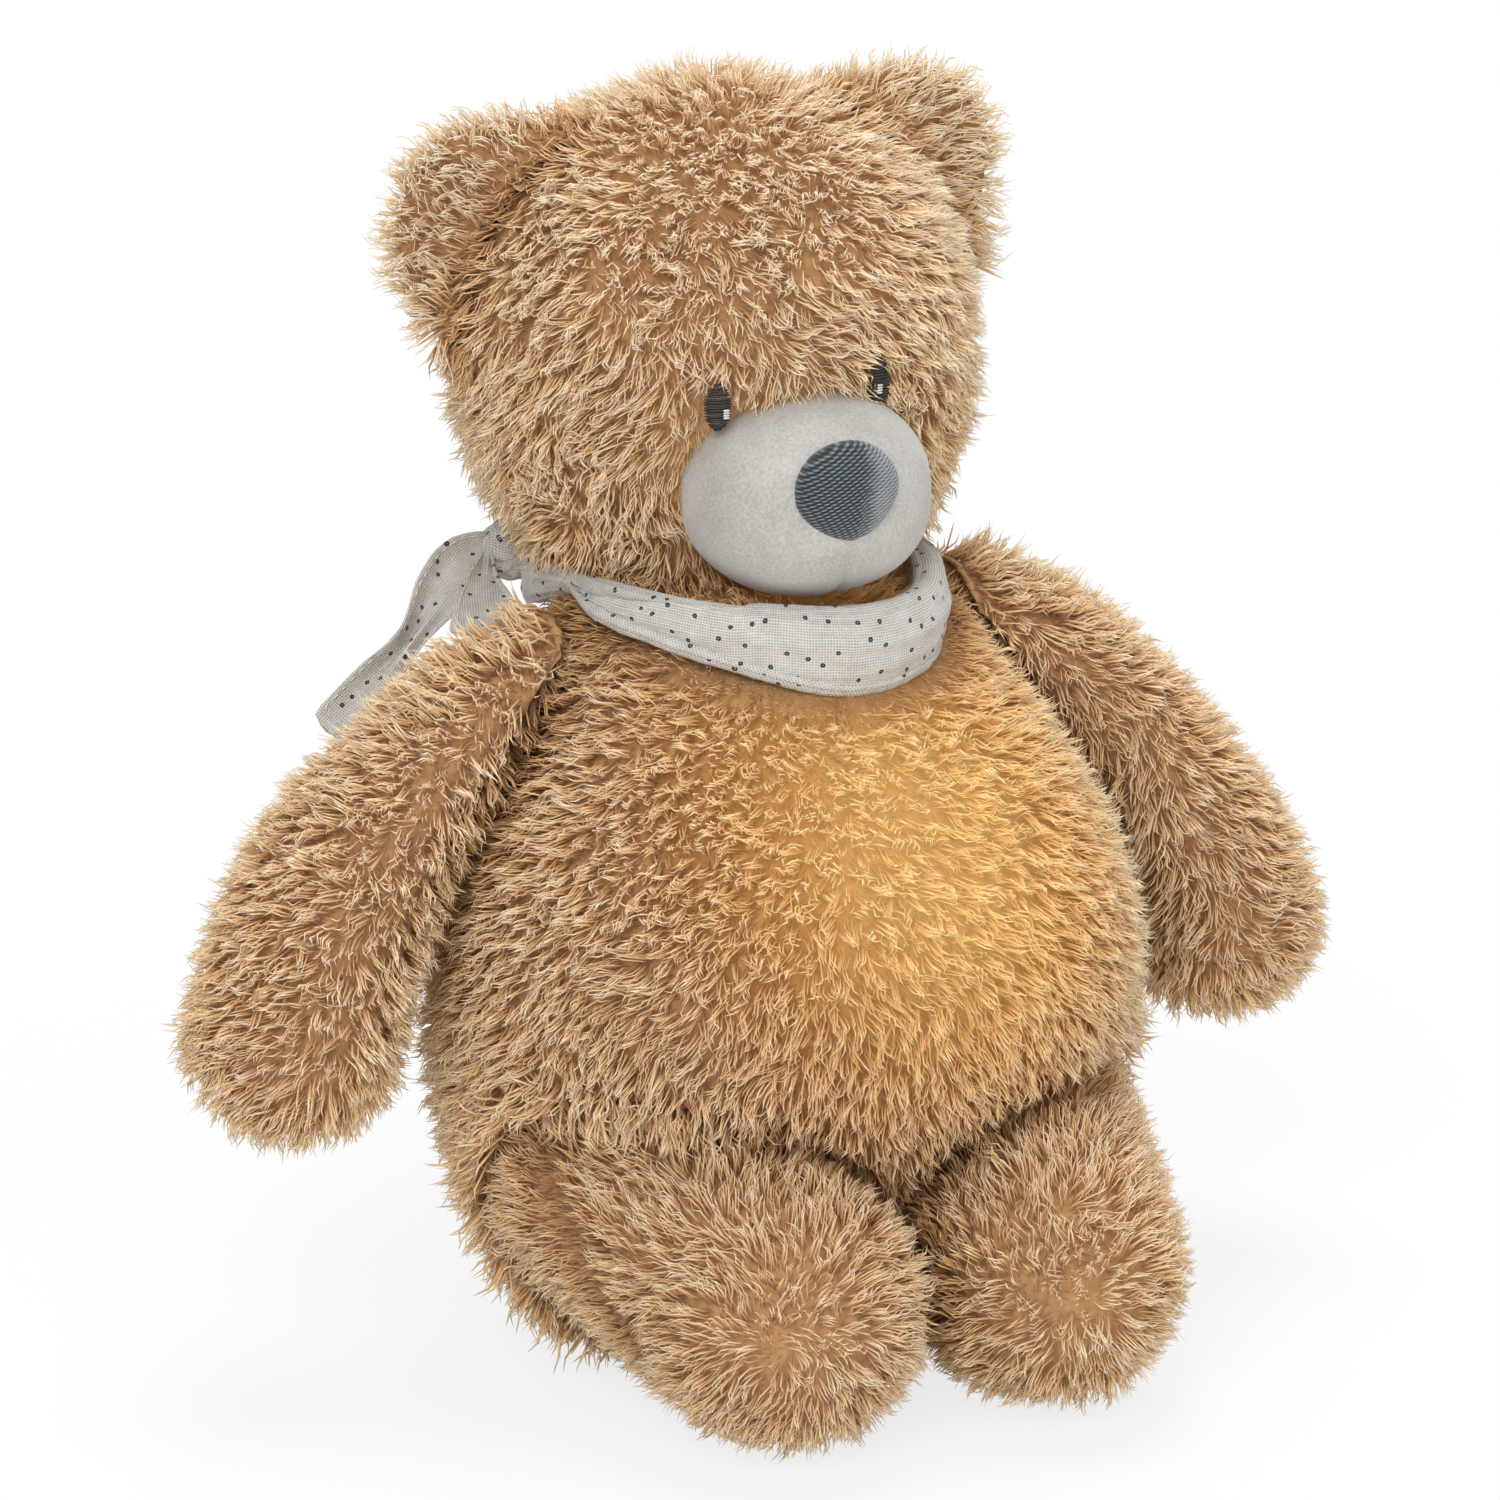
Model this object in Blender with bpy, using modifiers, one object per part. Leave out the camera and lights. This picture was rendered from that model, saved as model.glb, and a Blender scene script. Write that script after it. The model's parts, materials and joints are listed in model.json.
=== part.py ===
"""A sitting plush bear with sewn head, limbs and ears, a knotted neckerchief, and a light and
sound unit in a pouch behind its belly, reached through a hook and loop slit in its back.
The bear faces -Y, its left side is +X, and its seat is flat on the floor at the origin."""

import math

import bmesh
import bpy
from mathutils import Matrix, Vector

# Room left between pieces that touch, how far a cutter runs past what it cuts, and how near
# two points are to be one
TOUCH_GAP = 0.0003
CUT_OVERRUN = 0.002
WELD_REACH = 0.00001
QUARTER_TURN = math.radians(90.0)

# Body, from its flat seat to its rounded top
BODY_HEIGHT = 0.194
BODY_HALF_WIDTH = 0.0865
BODY_HALF_DEPTH = 0.0865
# One row for each level section: its height, half width, front reach and back reach
BODY_SHARES = (
    (0.000, 0.540, -0.430, 0.400),
    (0.012, 0.620, -0.480, 0.480),
    (0.046, 0.715, -0.550, 0.580),
    (0.113, 0.825, -0.630, 0.700),
    (0.206, 0.920, -0.710, 0.810),
    (0.299, 0.980, -0.785, 0.890),
    (0.381, 1.000, -0.865, 0.940),
    (0.464, 1.000, -0.935, 0.970),
    (0.546, 0.977, -0.965, 0.975),
    (0.629, 0.925, -0.925, 0.958),
    (0.711, 0.845, -0.815, 0.920),
    (0.794, 0.741, -0.655, 0.868),
    (0.866, 0.640, -0.450, 0.810),
    (0.923, 0.530, -0.240, 0.735),
    (0.964, 0.380, -0.030, 0.630),
    (0.990, 0.200, 0.150, 0.490),
)
BODY_SEGMENTS = 40
BODY_STEPS = 2

# Head, a ball with fuller cheeks, tipped as the photographed bear holds it
HEAD_RADIUS = 0.0636
HEAD_HALF_HEIGHT = 0.0632
CROWN_POWER = 2.0
CHEEK_POWER = 2.5
HEAD_BACK = 0.0445
HEAD_RISE = 0.0465
HEAD_ROLL = math.radians(-4.0)
HEAD_PITCH = math.radians(3.5)
HEAD_YAW = math.radians(-2.0)
HEAD_SEGMENTS = 36
HEAD_RINGS = 18

# Ears, flat cups sewn to the upper sides of the head, placed from the head's middle
EAR_HALF_WIDTH = 0.0290
EAR_HALF_HEIGHT = 0.0318
EAR_HALF_THICKNESS = 0.0095
EAR_CUP_DEPTH = 0.0075
EAR_OUT = 0.0490
EAR_UP = 0.0305
EAR_BACK = 0.0080
EAR_LEAN = math.radians(42.0)
EAR_TURN = math.radians(8.0)
EAR_SEGMENTS = 28
EAR_RINGS = 14

# Muzzle, nose and stitched eyes, placed from the head's middle
MUZZLE_HALF_WIDTH = 0.0305
MUZZLE_HALF_HEIGHT = 0.0232
MUZZLE_DEPTH = 0.0290
MUZZLE_FORWARD = 0.0560
MUZZLE_DROP = 0.0255
NOSE_HALF_WIDTH = 0.0132
NOSE_HALF_HEIGHT = 0.0120
NOSE_DEPTH = 0.0065
NOSE_FORWARD = 0.0820
NOSE_DROP = 0.0170
EYE_HALF_WIDTH = 0.0032
EYE_HALF_HEIGHT = 0.0055
EYE_DEPTH = 0.0028
EYE_APART = 0.0415
EYE_DROP = 0.0005
MUZZLE_SEGMENTS = 30
MUZZLE_RINGS = 16
BALL_SEGMENTS = 24
BALL_RINGS = 12
EYE_SEGMENTS = 16
EYE_RINGS = 8

# Arms, bowed outwards from the shoulder to a fuller hand, deeper than they are thick
ARM_ROOT_OUT = 0.0520
ARM_ROOT_BACK = 0.0240
ARM_ROOT_FALL = 0.0220
ARM_REACH = 0.0715
ARM_DROP = 0.0843
ARM_FORWARD = 0.0145
ARM_HALF_THICKNESS = 0.0250
ARM_HALF_DEPTH = 0.0315
# One row for each place along the arm: its reach, drop, half thickness and half depth
ARM_SHARES = (
    (0.000, 0.000, 0.640, 0.680),
    (0.280, 0.130, 0.700, 0.800),
    (0.573, 0.350, 0.810, 0.920),
    (0.847, 0.689, 0.920, 0.990),
    (1.000, 1.000, 1.000, 1.000),
)
SHOULDER_OUT = 0.0505
SHOULDER_FALL = 0.0070

# Legs, short and round, from a hip ball in the body to a foot ball just over the floor
HIP_OUT = 0.0490
HIP_FORWARD = 0.0220
HIP_UP = 0.0500
HIP_RADIUS = 0.0335
FOOT_RADIUS = 0.0335
FOOT_FORWARD = 0.0730
FOOT_LIFT = 0.0008
# One row for each place along the leg between hip and foot: its radius
THIGH_SHARES = ((0.33, 0.985), (0.67, 0.980))
LEG_SPREAD = math.radians(35.0)
LIMB_SEGMENTS = 20
LIMB_STEPS = 3
CAP_RINGS = 4
LEG_ROOM_STEPS = 4

# Neckerchief, a folded cloth round the neck, held by a knot at the right of the nape
BAND_HALF_HEIGHT = 0.0100
BAND_HALF_THICKNESS = 0.0040
BAND_RIDGE = 0.0009
BAND_SIDE = 0.0428
BAND_BACK = 0.0760
BAND_FALL = 0.0075
BAND_FRONT_SAG = 0.0085
# One row for each place round the neck, from the front by the bear's left to its right:
# sideways as a share of the side, depth as a share of the back, sag as a share of the front
# sag, half height and half thickness
BAND_SHARES = (
    (0.000, -0.454, 1.000, 1.000, 1.000),
    (0.560, -0.330, 0.720, 0.900, 1.000),
    (0.960, 0.000, 0.120, 0.680, 0.900),
    (1.020, 0.340, 0.000, 0.480, 0.760),
    (0.860, 0.720, 0.000, 0.440, 0.700),
    (0.000, 1.000, 0.000, 0.440, 0.700),
    (-0.860, 0.720, 0.000, 0.440, 0.700),
    (-1.030, 0.300, -0.020, 0.440, 0.640),
    (-0.960, -0.010, 0.080, 0.520, 0.800),
    (-0.560, -0.320, 0.560, 0.760, 0.950),
)
BAND_STEPS = 4
BAND_SEGMENTS = 14
KNOT_OUT = 0.0440
KNOT_BACK = 0.0670
KNOT_FALL = 0.0080
KNOT_RADIUS = 0.0095
KNOT_SEGMENTS = 18
KNOT_RINGS = 10
TAIL_HALF_THICKNESS = 0.0021
TAIL_RIDGE = 0.0008
LONG_TAIL_HALF_WIDTH = 0.0080
LONG_TAIL_REACH = 0.0530
LONG_TAIL_DROP = 0.0360
# One row for each place along a tail from the knot: its reach, drop, depth as a share of the
# knot's place, half width and thickness
LONG_TAIL_SHARES = (
    (0.000, 0.000, 1.000, 0.450, 1.500),
    (0.260, 0.050, 0.925, 0.560, 1.350),
    (0.500, 0.240, 0.825, 0.680, 1.200),
    (0.700, 0.560, 0.775, 0.820, 1.050),
    (0.880, 0.830, 0.765, 1.000, 1.000),
    (1.000, 1.000, 0.765, 0.900, 0.900),
)
SHORT_TAIL_HALF_WIDTH = 0.0095
SHORT_TAIL_REACH = 0.0150
SHORT_TAIL_DROP = 0.0215
SHORT_TAIL_SHARES = (
    (0.000, 0.080, 0.985, 0.420, 1.500),
    (0.500, 0.300, 0.900, 0.600, 1.300),
    (0.850, 0.650, 0.850, 0.860, 1.000),
    (1.000, 1.000, 0.830, 1.000, 0.900),
)
LONG_TAIL = (LONG_TAIL_SHARES, LONG_TAIL_HALF_WIDTH, LONG_TAIL_REACH, LONG_TAIL_DROP)
SHORT_TAIL = (SHORT_TAIL_SHARES, SHORT_TAIL_HALF_WIDTH, SHORT_TAIL_REACH, SHORT_TAIL_DROP)

# Back slit with a hook strip and a loop strip pressed together, and the pouch in front of it
POUCH_UP_SHARE = 0.600
POUCH_FRONT = 0.0450
POUCH_WALL = 0.0010
STRIP_LENGTH = 0.0700
STRIP_WIDTH = 0.0140
STRIP_THICKNESS = 0.0016
STRIP_INSET = 0.0265

# Light and sound unit, a round case that lies in the pouch with its diffuser to the belly
CASE_DEPTH = 0.0215
CASE_WALL = 0.0018
CASE_EDGE = 0.0015
DIFFUSER_HEIGHT = 0.0120
DIFFUSER_WALL = 0.0016
DOME_STEPS = 6
BATTERY_RADIUS = 0.00525
BATTERY_LENGTH = 0.0435
BATTERY_TIP_RADIUS = 0.0019
BATTERY_TIP_LENGTH = 0.0010
BATTERY_COUNT = 3
BAY_FLOOR = 0.0014
CONTACT_THICKNESS = 0.0005
SPRING_LENGTH = 0.0026
SPRING_RADIUS = 0.0030
SPRING_WIRE = 0.00035
SPRING_TURNS = 3
SPRING_TAPER_SHARE = 0.35
SPRING_SEGMENTS = 8
COVER_THICKNESS = 0.0016
COVER_LEDGE = 0.0020
COVER_TAB_RADIUS = 0.0042
SCREW_RADIUS = 0.0014
SCREW_HEAD_RADIUS = 0.0026
SCREW_HEAD_HEIGHT = 0.0012
SCREW_LENGTH = 0.0055
BOARD_CLEARANCE = 0.0012
BOARD_THICKNESS = 0.0016
LAMP_RADIUS = 0.0025
LAMP_HEIGHT = 0.0055
LAMP_COUNT = 3
LAMP_CIRCLE_SHARE = 0.64
SPEAKER_RADIUS = 0.0100
SPEAKER_HEIGHT = 0.0045
SPEAKER_RIM = 0.0012
MAGNET_RADIUS = 0.0045
CONE_THICKNESS = 0.0006
BUTTON_RADIUS = 0.0035
BUTTON_FLANGE = 0.0008
BUTTON_FLANGE_THICKNESS = 0.0010
BUTTON_PROUD = 0.0015
BUTTON_TRAVEL = 0.0010
BUTTON_APART = 0.0170
BUTTON_CLEARANCE = 0.0032
SWITCH_SIDE = 0.0060
SWITCH_HEIGHT = 0.0030
ROUND_SEGMENTS = 32
SMALL_SEGMENTS = 16

# Places that follow from the sizes above. Head, arms and neckerchief keep to the body's top,
# and the unit's case is round about the cells and their cover.
HEAD_UP = BODY_HEIGHT + HEAD_RISE
ARM_ROOT_UP = BODY_HEIGHT - ARM_ROOT_FALL
SHOULDER_UP = BODY_HEIGHT - SHOULDER_FALL
BAND_UP = BODY_HEIGHT - BAND_FALL
KNOT_UP = BODY_HEIGHT - KNOT_FALL
POUCH_UP = BODY_HEIGHT * POUCH_UP_SHARE
STRIP_BACK = BODY_HALF_DEPTH - STRIP_INSET
FOOT_OUT = FOOT_RADIUS + TOUCH_GAP
FOOT_UP = FOOT_RADIUS + FOOT_LIFT
BAY_DEPTH = COVER_THICKNESS + 4 * TOUCH_GAP + 2 * BATTERY_RADIUS
BAY_WIDTH = BATTERY_COUNT * (2 * BATTERY_RADIUS + TOUCH_GAP) + TOUCH_GAP
BAY_LENGTH = BATTERY_LENGTH + BATTERY_TIP_LENGTH + SPRING_LENGTH + 2 * CONTACT_THICKNESS
BAY_LENGTH += 5 * TOUCH_GAP
CASE_RADIUS = math.hypot(BAY_LENGTH / 2 + COVER_LEDGE, BAY_WIDTH / 2 + COVER_LEDGE) + CASE_WALL
BOARD_RADIUS = CASE_RADIUS - CASE_WALL - BOARD_CLEARANCE
LAMP_CIRCLE = CASE_RADIUS * LAMP_CIRCLE_SHARE
BUTTON_UP = BAY_WIDTH / 2 + COVER_LEDGE + BUTTON_RADIUS + BUTTON_CLEARANCE
POUCH_INNER = CASE_RADIUS + TOUCH_GAP
POUCH_OUTER = POUCH_INNER + POUCH_WALL
POCKET_RADIUS = POUCH_OUTER + TOUCH_GAP
UNIT_FRONT = POUCH_FRONT - POUCH_WALL - TOUCH_GAP
UNIT_DEPTH = CASE_DEPTH + TOUCH_GAP + DIFFUSER_HEIGHT
UNIT_BACK = UNIT_FRONT - UNIT_DEPTH
BOARD_BACK = BAY_DEPTH + BAY_FLOOR + TOUCH_GAP
BOARD_FRONT = BOARD_BACK + BOARD_THICKNESS
SLIT_HALF_HEIGHT = STRIP_THICKNESS + 1.5 * TOUCH_GAP
SLIT_LENGTH = STRIP_LENGTH + 2 * TOUCH_GAP
TAB_DROP = BAY_WIDTH / 2 + COVER_LEDGE + COVER_TAB_RADIUS / 2
LEG_ROOM = 2 * TOUCH_GAP
SWITCH_BACK = BOARD_BACK - TOUCH_GAP - SWITCH_HEIGHT
BUTTON_FRONT = SWITCH_BACK - TOUCH_GAP - BUTTON_TRAVEL
FLANGE_BACK = BUTTON_FRONT - 2 * BUTTON_FLANGE_THICKNESS


def collection(name):
    """Adds an empty collection to the scene."""
    found = bpy.data.collections.new(name)
    bpy.context.scene.collection.children.link(found)
    return found


def clear_scene():
    """Takes out whatever the scene holds."""
    for obj in list(bpy.data.objects):
        bpy.data.objects.remove(obj, do_unlink=True)


def material(name, colour, roughness, metallic=0.0):
    """A plain material of one colour."""
    made = bpy.data.materials.new(name)
    made.use_nodes = True
    surface = made.node_tree.nodes["Principled BSDF"]
    surface.inputs["Base Color"].default_value = (*colour, 1.0)
    surface.inputs["Roughness"].default_value = roughness
    surface.inputs["Metallic"].default_value = metallic
    made.diffuse_color = (*colour, 1.0)
    return made


def place(name, mesh, look, smooth=True):
    """Puts a mesh into the scene as a named sub-part, or as a cutter where it has no look."""
    obj = bpy.data.objects.new(name, mesh)
    if look is None:
        CUTTERS.objects.link(obj)
        obj.hide_render = True
        obj.display_type = "WIRE"
        return obj
    PARTS.objects.link(obj)
    mesh.materials.append(look)
    if smooth:
        mesh.shade_smooth()
        mesh.set_sharp_from_angle(angle=math.radians(50.0))
    return obj


def finish_mesh(name, shape, matrix=None):
    """Turns a bmesh into a mesh, moved by the matrix."""
    if matrix is not None:
        bmesh.ops.transform(shape, matrix=matrix, verts=shape.verts)
    bmesh.ops.recalc_face_normals(shape, faces=shape.faces)
    mesh = bpy.data.meshes.new(name)
    shape.to_mesh(mesh)
    shape.free()
    return mesh


def grow(shape, amount):
    """Moves each vertex of a bmesh outwards by the amount."""
    if amount:
        shape.normal_update()
        moves = [vertex.normal * amount for vertex in shape.verts]
        for vertex, move in zip(shape.verts, moves):
            vertex.co += move


def cut(target, *cutters):
    """Cuts each cutter out of the target."""
    for cutter in cutters:
        modifier = target.modifiers.new(cutter.name, "BOOLEAN")
        modifier.operation = "DIFFERENCE"
        modifier.solver = "EXACT"
        modifier.object = cutter


def join(target, other):
    """Joins another solid to the target."""
    modifier = target.modifiers.new(other.name, "BOOLEAN")
    modifier.operation = "UNION"
    modifier.solver = "EXACT"
    modifier.object = other


def between(rows, steps):
    """Adds steps - 1 rows between each two rows, on a smooth curve through them all."""
    found = []
    for i in range(len(rows) - 1):
        before = rows[max(i - 1, 0)]
        start, end = rows[i], rows[i + 1]
        after = rows[min(i + 2, len(rows) - 1)]
        found += [curve_row(before, start, end, after, k / steps) for k in range(steps)]
    return found + [tuple(rows[-1])]


def around(rows, steps):
    """Like between, for rows that run round a closed loop."""
    count = len(rows)
    found = []
    for i in range(count):
        four = [rows[(i + k) % count] for k in (-1, 0, 1, 2)]
        found += [curve_row(*four, k / steps) for k in range(steps)]
    return found


def curve_row(before, start, end, after, t):
    """One row on the smooth curve between start and end."""
    return tuple(
        0.5 * (2 * b + (c - a) * t + (2 * a - 5 * b + 4 * c - d) * t**2 + (3 * b - a - 3 * c + d) * t**3)
        for a, b, c, d in zip(before, start, end, after)
    )


def loft(rings, closed=False):
    """A bmesh skin over rings of points, closed by a point or a flat face at each end."""
    shape = bmesh.new()
    rows = [[shape.verts.new(point) for point in ring] for ring in rings]
    pairs = list(zip(rows, rows[1:]))
    if closed:
        pairs.append((rows[-1], rows[0]))
    for first, second in pairs:
        skin_between(shape, first, second)
    if not closed:
        for row in (rows[0], rows[-1]):
            if len(row) > 2:
                shape.faces.new(row)
    return shape


def skin_between(shape, first, second):
    """Faces between two rings, either of which may be a single point."""
    count = max(len(first), len(second))
    for i in range(count):
        j = (i + 1) % count
        if len(first) == 1:
            shape.faces.new((first[0], second[i], second[j]))
        elif len(second) == 1:
            shape.faces.new((first[i], first[j], second[0]))
        else:
            shape.faces.new((first[i], first[j], second[j], second[i]))


def ellipse(centre, across, along, segments):
    """A ring of points round a centre, with two half axes."""
    turns = [2 * math.pi * i / segments for i in range(segments)]
    return [centre + across * math.cos(turn) + along * math.sin(turn) for turn in turns]


def box_mesh(name, size, centre):
    """A box of the given sides round a centre."""
    shape = bmesh.new()
    bmesh.ops.create_cube(shape, size=1.0)
    bmesh.ops.scale(shape, vec=size, verts=shape.verts)
    return finish_mesh(name, shape, Matrix.Translation(centre))


def cylinder_mesh(name, radius, depth, matrix, segments=ROUND_SEGMENTS):
    """A cylinder along the matrix's Z axis, from its origin upwards."""
    shape = bmesh.new()
    bmesh.ops.create_cone(
        shape, cap_ends=True, segments=segments, radius1=radius, radius2=radius, depth=depth
    )
    return finish_mesh(name, shape, matrix @ Matrix.Translation((0, 0, depth / 2)))


def turned(name, profile, matrix, look, segments=ROUND_SEGMENTS):
    """Turns a closed or axis-to-axis profile of (radius, height) points round the Z axis."""
    mesh = bpy.data.meshes.new(name)
    points = [(radius, 0, height) for radius, height in profile]
    count = len(points)
    edges = [(i, i + 1) for i in range(count - 1)]
    if min(radius for radius, _ in profile) > 0:
        edges.append((count - 1, 0))
    mesh.from_pydata(points, edges, [])
    obj = place(name, mesh, look)
    obj.matrix_world = matrix
    screw = obj.modifiers.new("turn", "SCREW")
    screw.axis = "Z"
    screw.steps = screw.render_steps = segments
    screw.use_merge_vertices = True
    screw.merge_threshold = WELD_REACH
    screw.use_smooth_shade = True
    return obj


def head_matrix():
    """From the head's own frame to the part's."""
    turn = (
        Matrix.Rotation(HEAD_YAW, 4, "Z")
        @ Matrix.Rotation(HEAD_PITCH, 4, "X")
        @ Matrix.Rotation(HEAD_ROLL, 4, "Y")
    )
    return Matrix.Translation((0, HEAD_BACK, HEAD_UP)) @ turn


def mirrored(side):
    """Flips X for the bear's right side."""
    return Matrix.Scale(side, 4, (1, 0, 0))


def body_form(name, look, growth=0.0):
    """The stuffed body: level sections that swell to the belly and lean back to the neck."""
    rings = []
    for height, width, front, back in between(BODY_SHARES, BODY_STEPS):
        middle = BODY_HALF_DEPTH * (front + back) / 2
        depth = BODY_HALF_DEPTH * (back - front) / 2
        centre = Vector((0, middle, BODY_HEIGHT * height))
        across = Vector((BODY_HALF_WIDTH * width, 0, 0))
        rings.append(ellipse(centre, across, Vector((0, depth, 0)), BODY_SEGMENTS))
    rings.append([Vector((0, rings[-1][0].y, BODY_HEIGHT))])
    shape = loft(rings)
    bmesh.ops.recalc_face_normals(shape, faces=shape.faces)
    grow(shape, growth)
    return place(name, finish_mesh(name, shape), look)


def head_form(name, look, growth=0.0):
    """The stuffed head, round about its own upright axis and fuller below its middle."""
    radius, height = HEAD_RADIUS + growth, HEAD_HALF_HEIGHT + growth
    rings = [[Vector((0, 0, -height))]]
    for i in range(1, HEAD_RINGS):
        level = -math.cos(math.pi * i / HEAD_RINGS)
        power = CHEEK_POWER if level < 0 else CROWN_POWER
        wide = radius * (1 - abs(level) ** power) ** (1 / power)
        centre = Vector((0, 0, height * level))
        rings.append(ellipse(centre, Vector((wide, 0, 0)), Vector((0, wide, 0)), HEAD_SEGMENTS))
    rings.append([Vector((0, 0, height))])
    return place(name, finish_mesh(name, loft(rings), head_matrix()), look)


def ball(name, radii, matrix, look, segments=BALL_SEGMENTS, rings=BALL_RINGS, growth=0.0):
    """An ellipsoid with the given half axes in the matrix's frame."""
    shape = bmesh.new()
    bmesh.ops.create_uvsphere(shape, u_segments=segments, v_segments=rings, radius=1.0)
    bmesh.ops.scale(shape, vec=[radius + growth for radius in radii], verts=shape.verts)
    return place(name, finish_mesh(name, shape, matrix), look)


def ear(side, name, look):
    """A flat cup that opens forwards, leaning out from the side of the head."""
    shape = bmesh.new()
    bmesh.ops.create_uvsphere(shape, u_segments=EAR_SEGMENTS, v_segments=EAR_RINGS, radius=1.0)
    bmesh.ops.scale(shape, vec=(EAR_HALF_WIDTH, EAR_HALF_HEIGHT, EAR_HALF_THICKNESS), verts=shape.verts)
    for vertex in shape.verts:
        rim_share = math.hypot(vertex.co.x / EAR_HALF_WIDTH, vertex.co.y / EAR_HALF_HEIGHT)
        vertex.co.z += EAR_CUP_DEPTH * rim_share**2
    spot = Matrix.Translation((EAR_OUT, EAR_BACK, EAR_UP))
    turn = Matrix.Rotation(EAR_TURN, 4, "Z") @ Matrix.Rotation(EAR_LEAN, 4, "Y")
    upright = Matrix.Rotation(QUARTER_TURN, 4, "X")
    matrix = head_matrix() @ mirrored(side) @ spot @ turn @ upright
    obj = place(name, finish_mesh(name, shape, matrix), look)
    cut(obj, HEAD_CUTTER)
    return obj


def muzzle_form(name, look, growth=0.0):
    """The rounded snout panel."""
    spot = head_matrix() @ Matrix.Translation((0, -MUZZLE_FORWARD, -MUZZLE_DROP))
    radii = (MUZZLE_HALF_WIDTH, MUZZLE_DEPTH, MUZZLE_HALF_HEIGHT)
    return ball(name, radii, spot, look, segments=MUZZLE_SEGMENTS, rings=MUZZLE_RINGS, growth=growth)


def nose(look):
    """The padded nose on the tip of the muzzle."""
    spot = head_matrix() @ Matrix.Translation((0, -NOSE_FORWARD, -NOSE_DROP))
    radii = (NOSE_HALF_WIDTH, NOSE_DEPTH, NOSE_HALF_HEIGHT)
    cut(ball("nose", radii, spot, look), MUZZLE_CUTTER)


def eye(side, name, look):
    """An oval of satin stitches, raised a little from the face."""
    out = EYE_APART / 2
    forward = math.sqrt(HEAD_RADIUS**2 - out**2 - EYE_DROP**2)
    turn = Matrix.Rotation(math.atan2(out, forward), 4, "Z")
    spot = head_matrix() @ mirrored(side) @ Matrix.Translation((out, -forward, -EYE_DROP)) @ turn
    obj = ball(name, (EYE_HALF_WIDTH, EYE_DEPTH, EYE_HALF_HEIGHT), spot, look, EYE_SEGMENTS, EYE_RINGS)
    cut(obj, HEAD_CUTTER)


def face(looks):
    """Muzzle, nose, eyes and ears on the head."""
    cut(muzzle_form("muzzle", looks["velour"]), HEAD_CUTTER)
    nose(looks["nose"])
    for side, word in ((1, "left"), (-1, "right")):
        eye(side, f"eye_{word}", looks["thread"])
        ear(side, f"ear_{word}", looks["fur"])


def cap_turns():
    """Angles of the rings between a round end's rim and its tip."""
    return [math.pi / 2 * k / CAP_RINGS for k in range(1, CAP_RINGS)]


def arm_cap(point, along, thick, deep):
    """Sections of a round end of the arm, from its rim to its tip."""
    rows = [(math.sin(turn), math.cos(turn)) for turn in cap_turns()]
    return [(point + along * thick * far, thick * wide, deep * wide) for far, wide in rows]


def arm_rings():
    """Sections along the left arm, with a round cap at each end."""
    rings = []
    rows = between(ARM_SHARES, LIMB_STEPS)
    points = []
    for reach, drop, thick, deep in rows:
        forward = ARM_ROOT_BACK - ARM_FORWARD * drop
        point = Vector((ARM_ROOT_OUT + ARM_REACH * reach, forward, ARM_ROOT_UP - ARM_DROP * drop))
        points.append((point, ARM_HALF_THICKNESS * thick, ARM_HALF_DEPTH * deep))
    last = len(points) - 1
    for i, (point, thick, deep) in enumerate(points):
        along = (points[min(i + 1, last)][0] - points[max(i - 1, 0)][0]).normalized()
        across = along.cross(Vector((0, 1, 0))).normalized()
        back = across.cross(along).normalized()
        ring = [(point, thick, deep)]
        if i == 0:
            ring = arm_cap(point, -along, thick, deep)[::-1] + ring
            rings.append([point - along * thick])
        if i == last:
            ring = ring + arm_cap(point, along, thick, deep)
        rings += [ellipse(c, across * a, back * b, LIMB_SEGMENTS) for c, a, b in ring]
        if i == last:
            rings.append([point + along * thick])
    return rings


def arm(side, name, look):
    """A bowed arm that lies against the body and lifts sideways at the shoulder seam."""
    mesh = finish_mesh(name, loft(arm_rings()), mirrored(side))
    hinge = Vector((side * SHOULDER_OUT, ARM_ROOT_BACK, SHOULDER_UP))
    mesh.transform(Matrix.Translation(-hinge))
    obj = place(name, mesh, look)
    obj.location = hinge
    cut(obj, BODY_CUTTER, SEAM_CUTTER)
    return obj


def leg_points():
    """Centres and radii along the left leg, from the hip to the foot."""
    hip = Vector((HIP_OUT, -HIP_FORWARD, HIP_UP))
    foot = Vector((FOOT_OUT, -FOOT_FORWARD, FOOT_UP))
    rows = [(hip, HIP_RADIUS)]
    for place_share, radius_share in THIGH_SHARES:
        radius = HIP_RADIUS + (FOOT_RADIUS - HIP_RADIUS) * place_share
        rows.append((hip.lerp(foot, place_share), radius * radius_share))
    return rows + [(foot, FOOT_RADIUS)]


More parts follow.
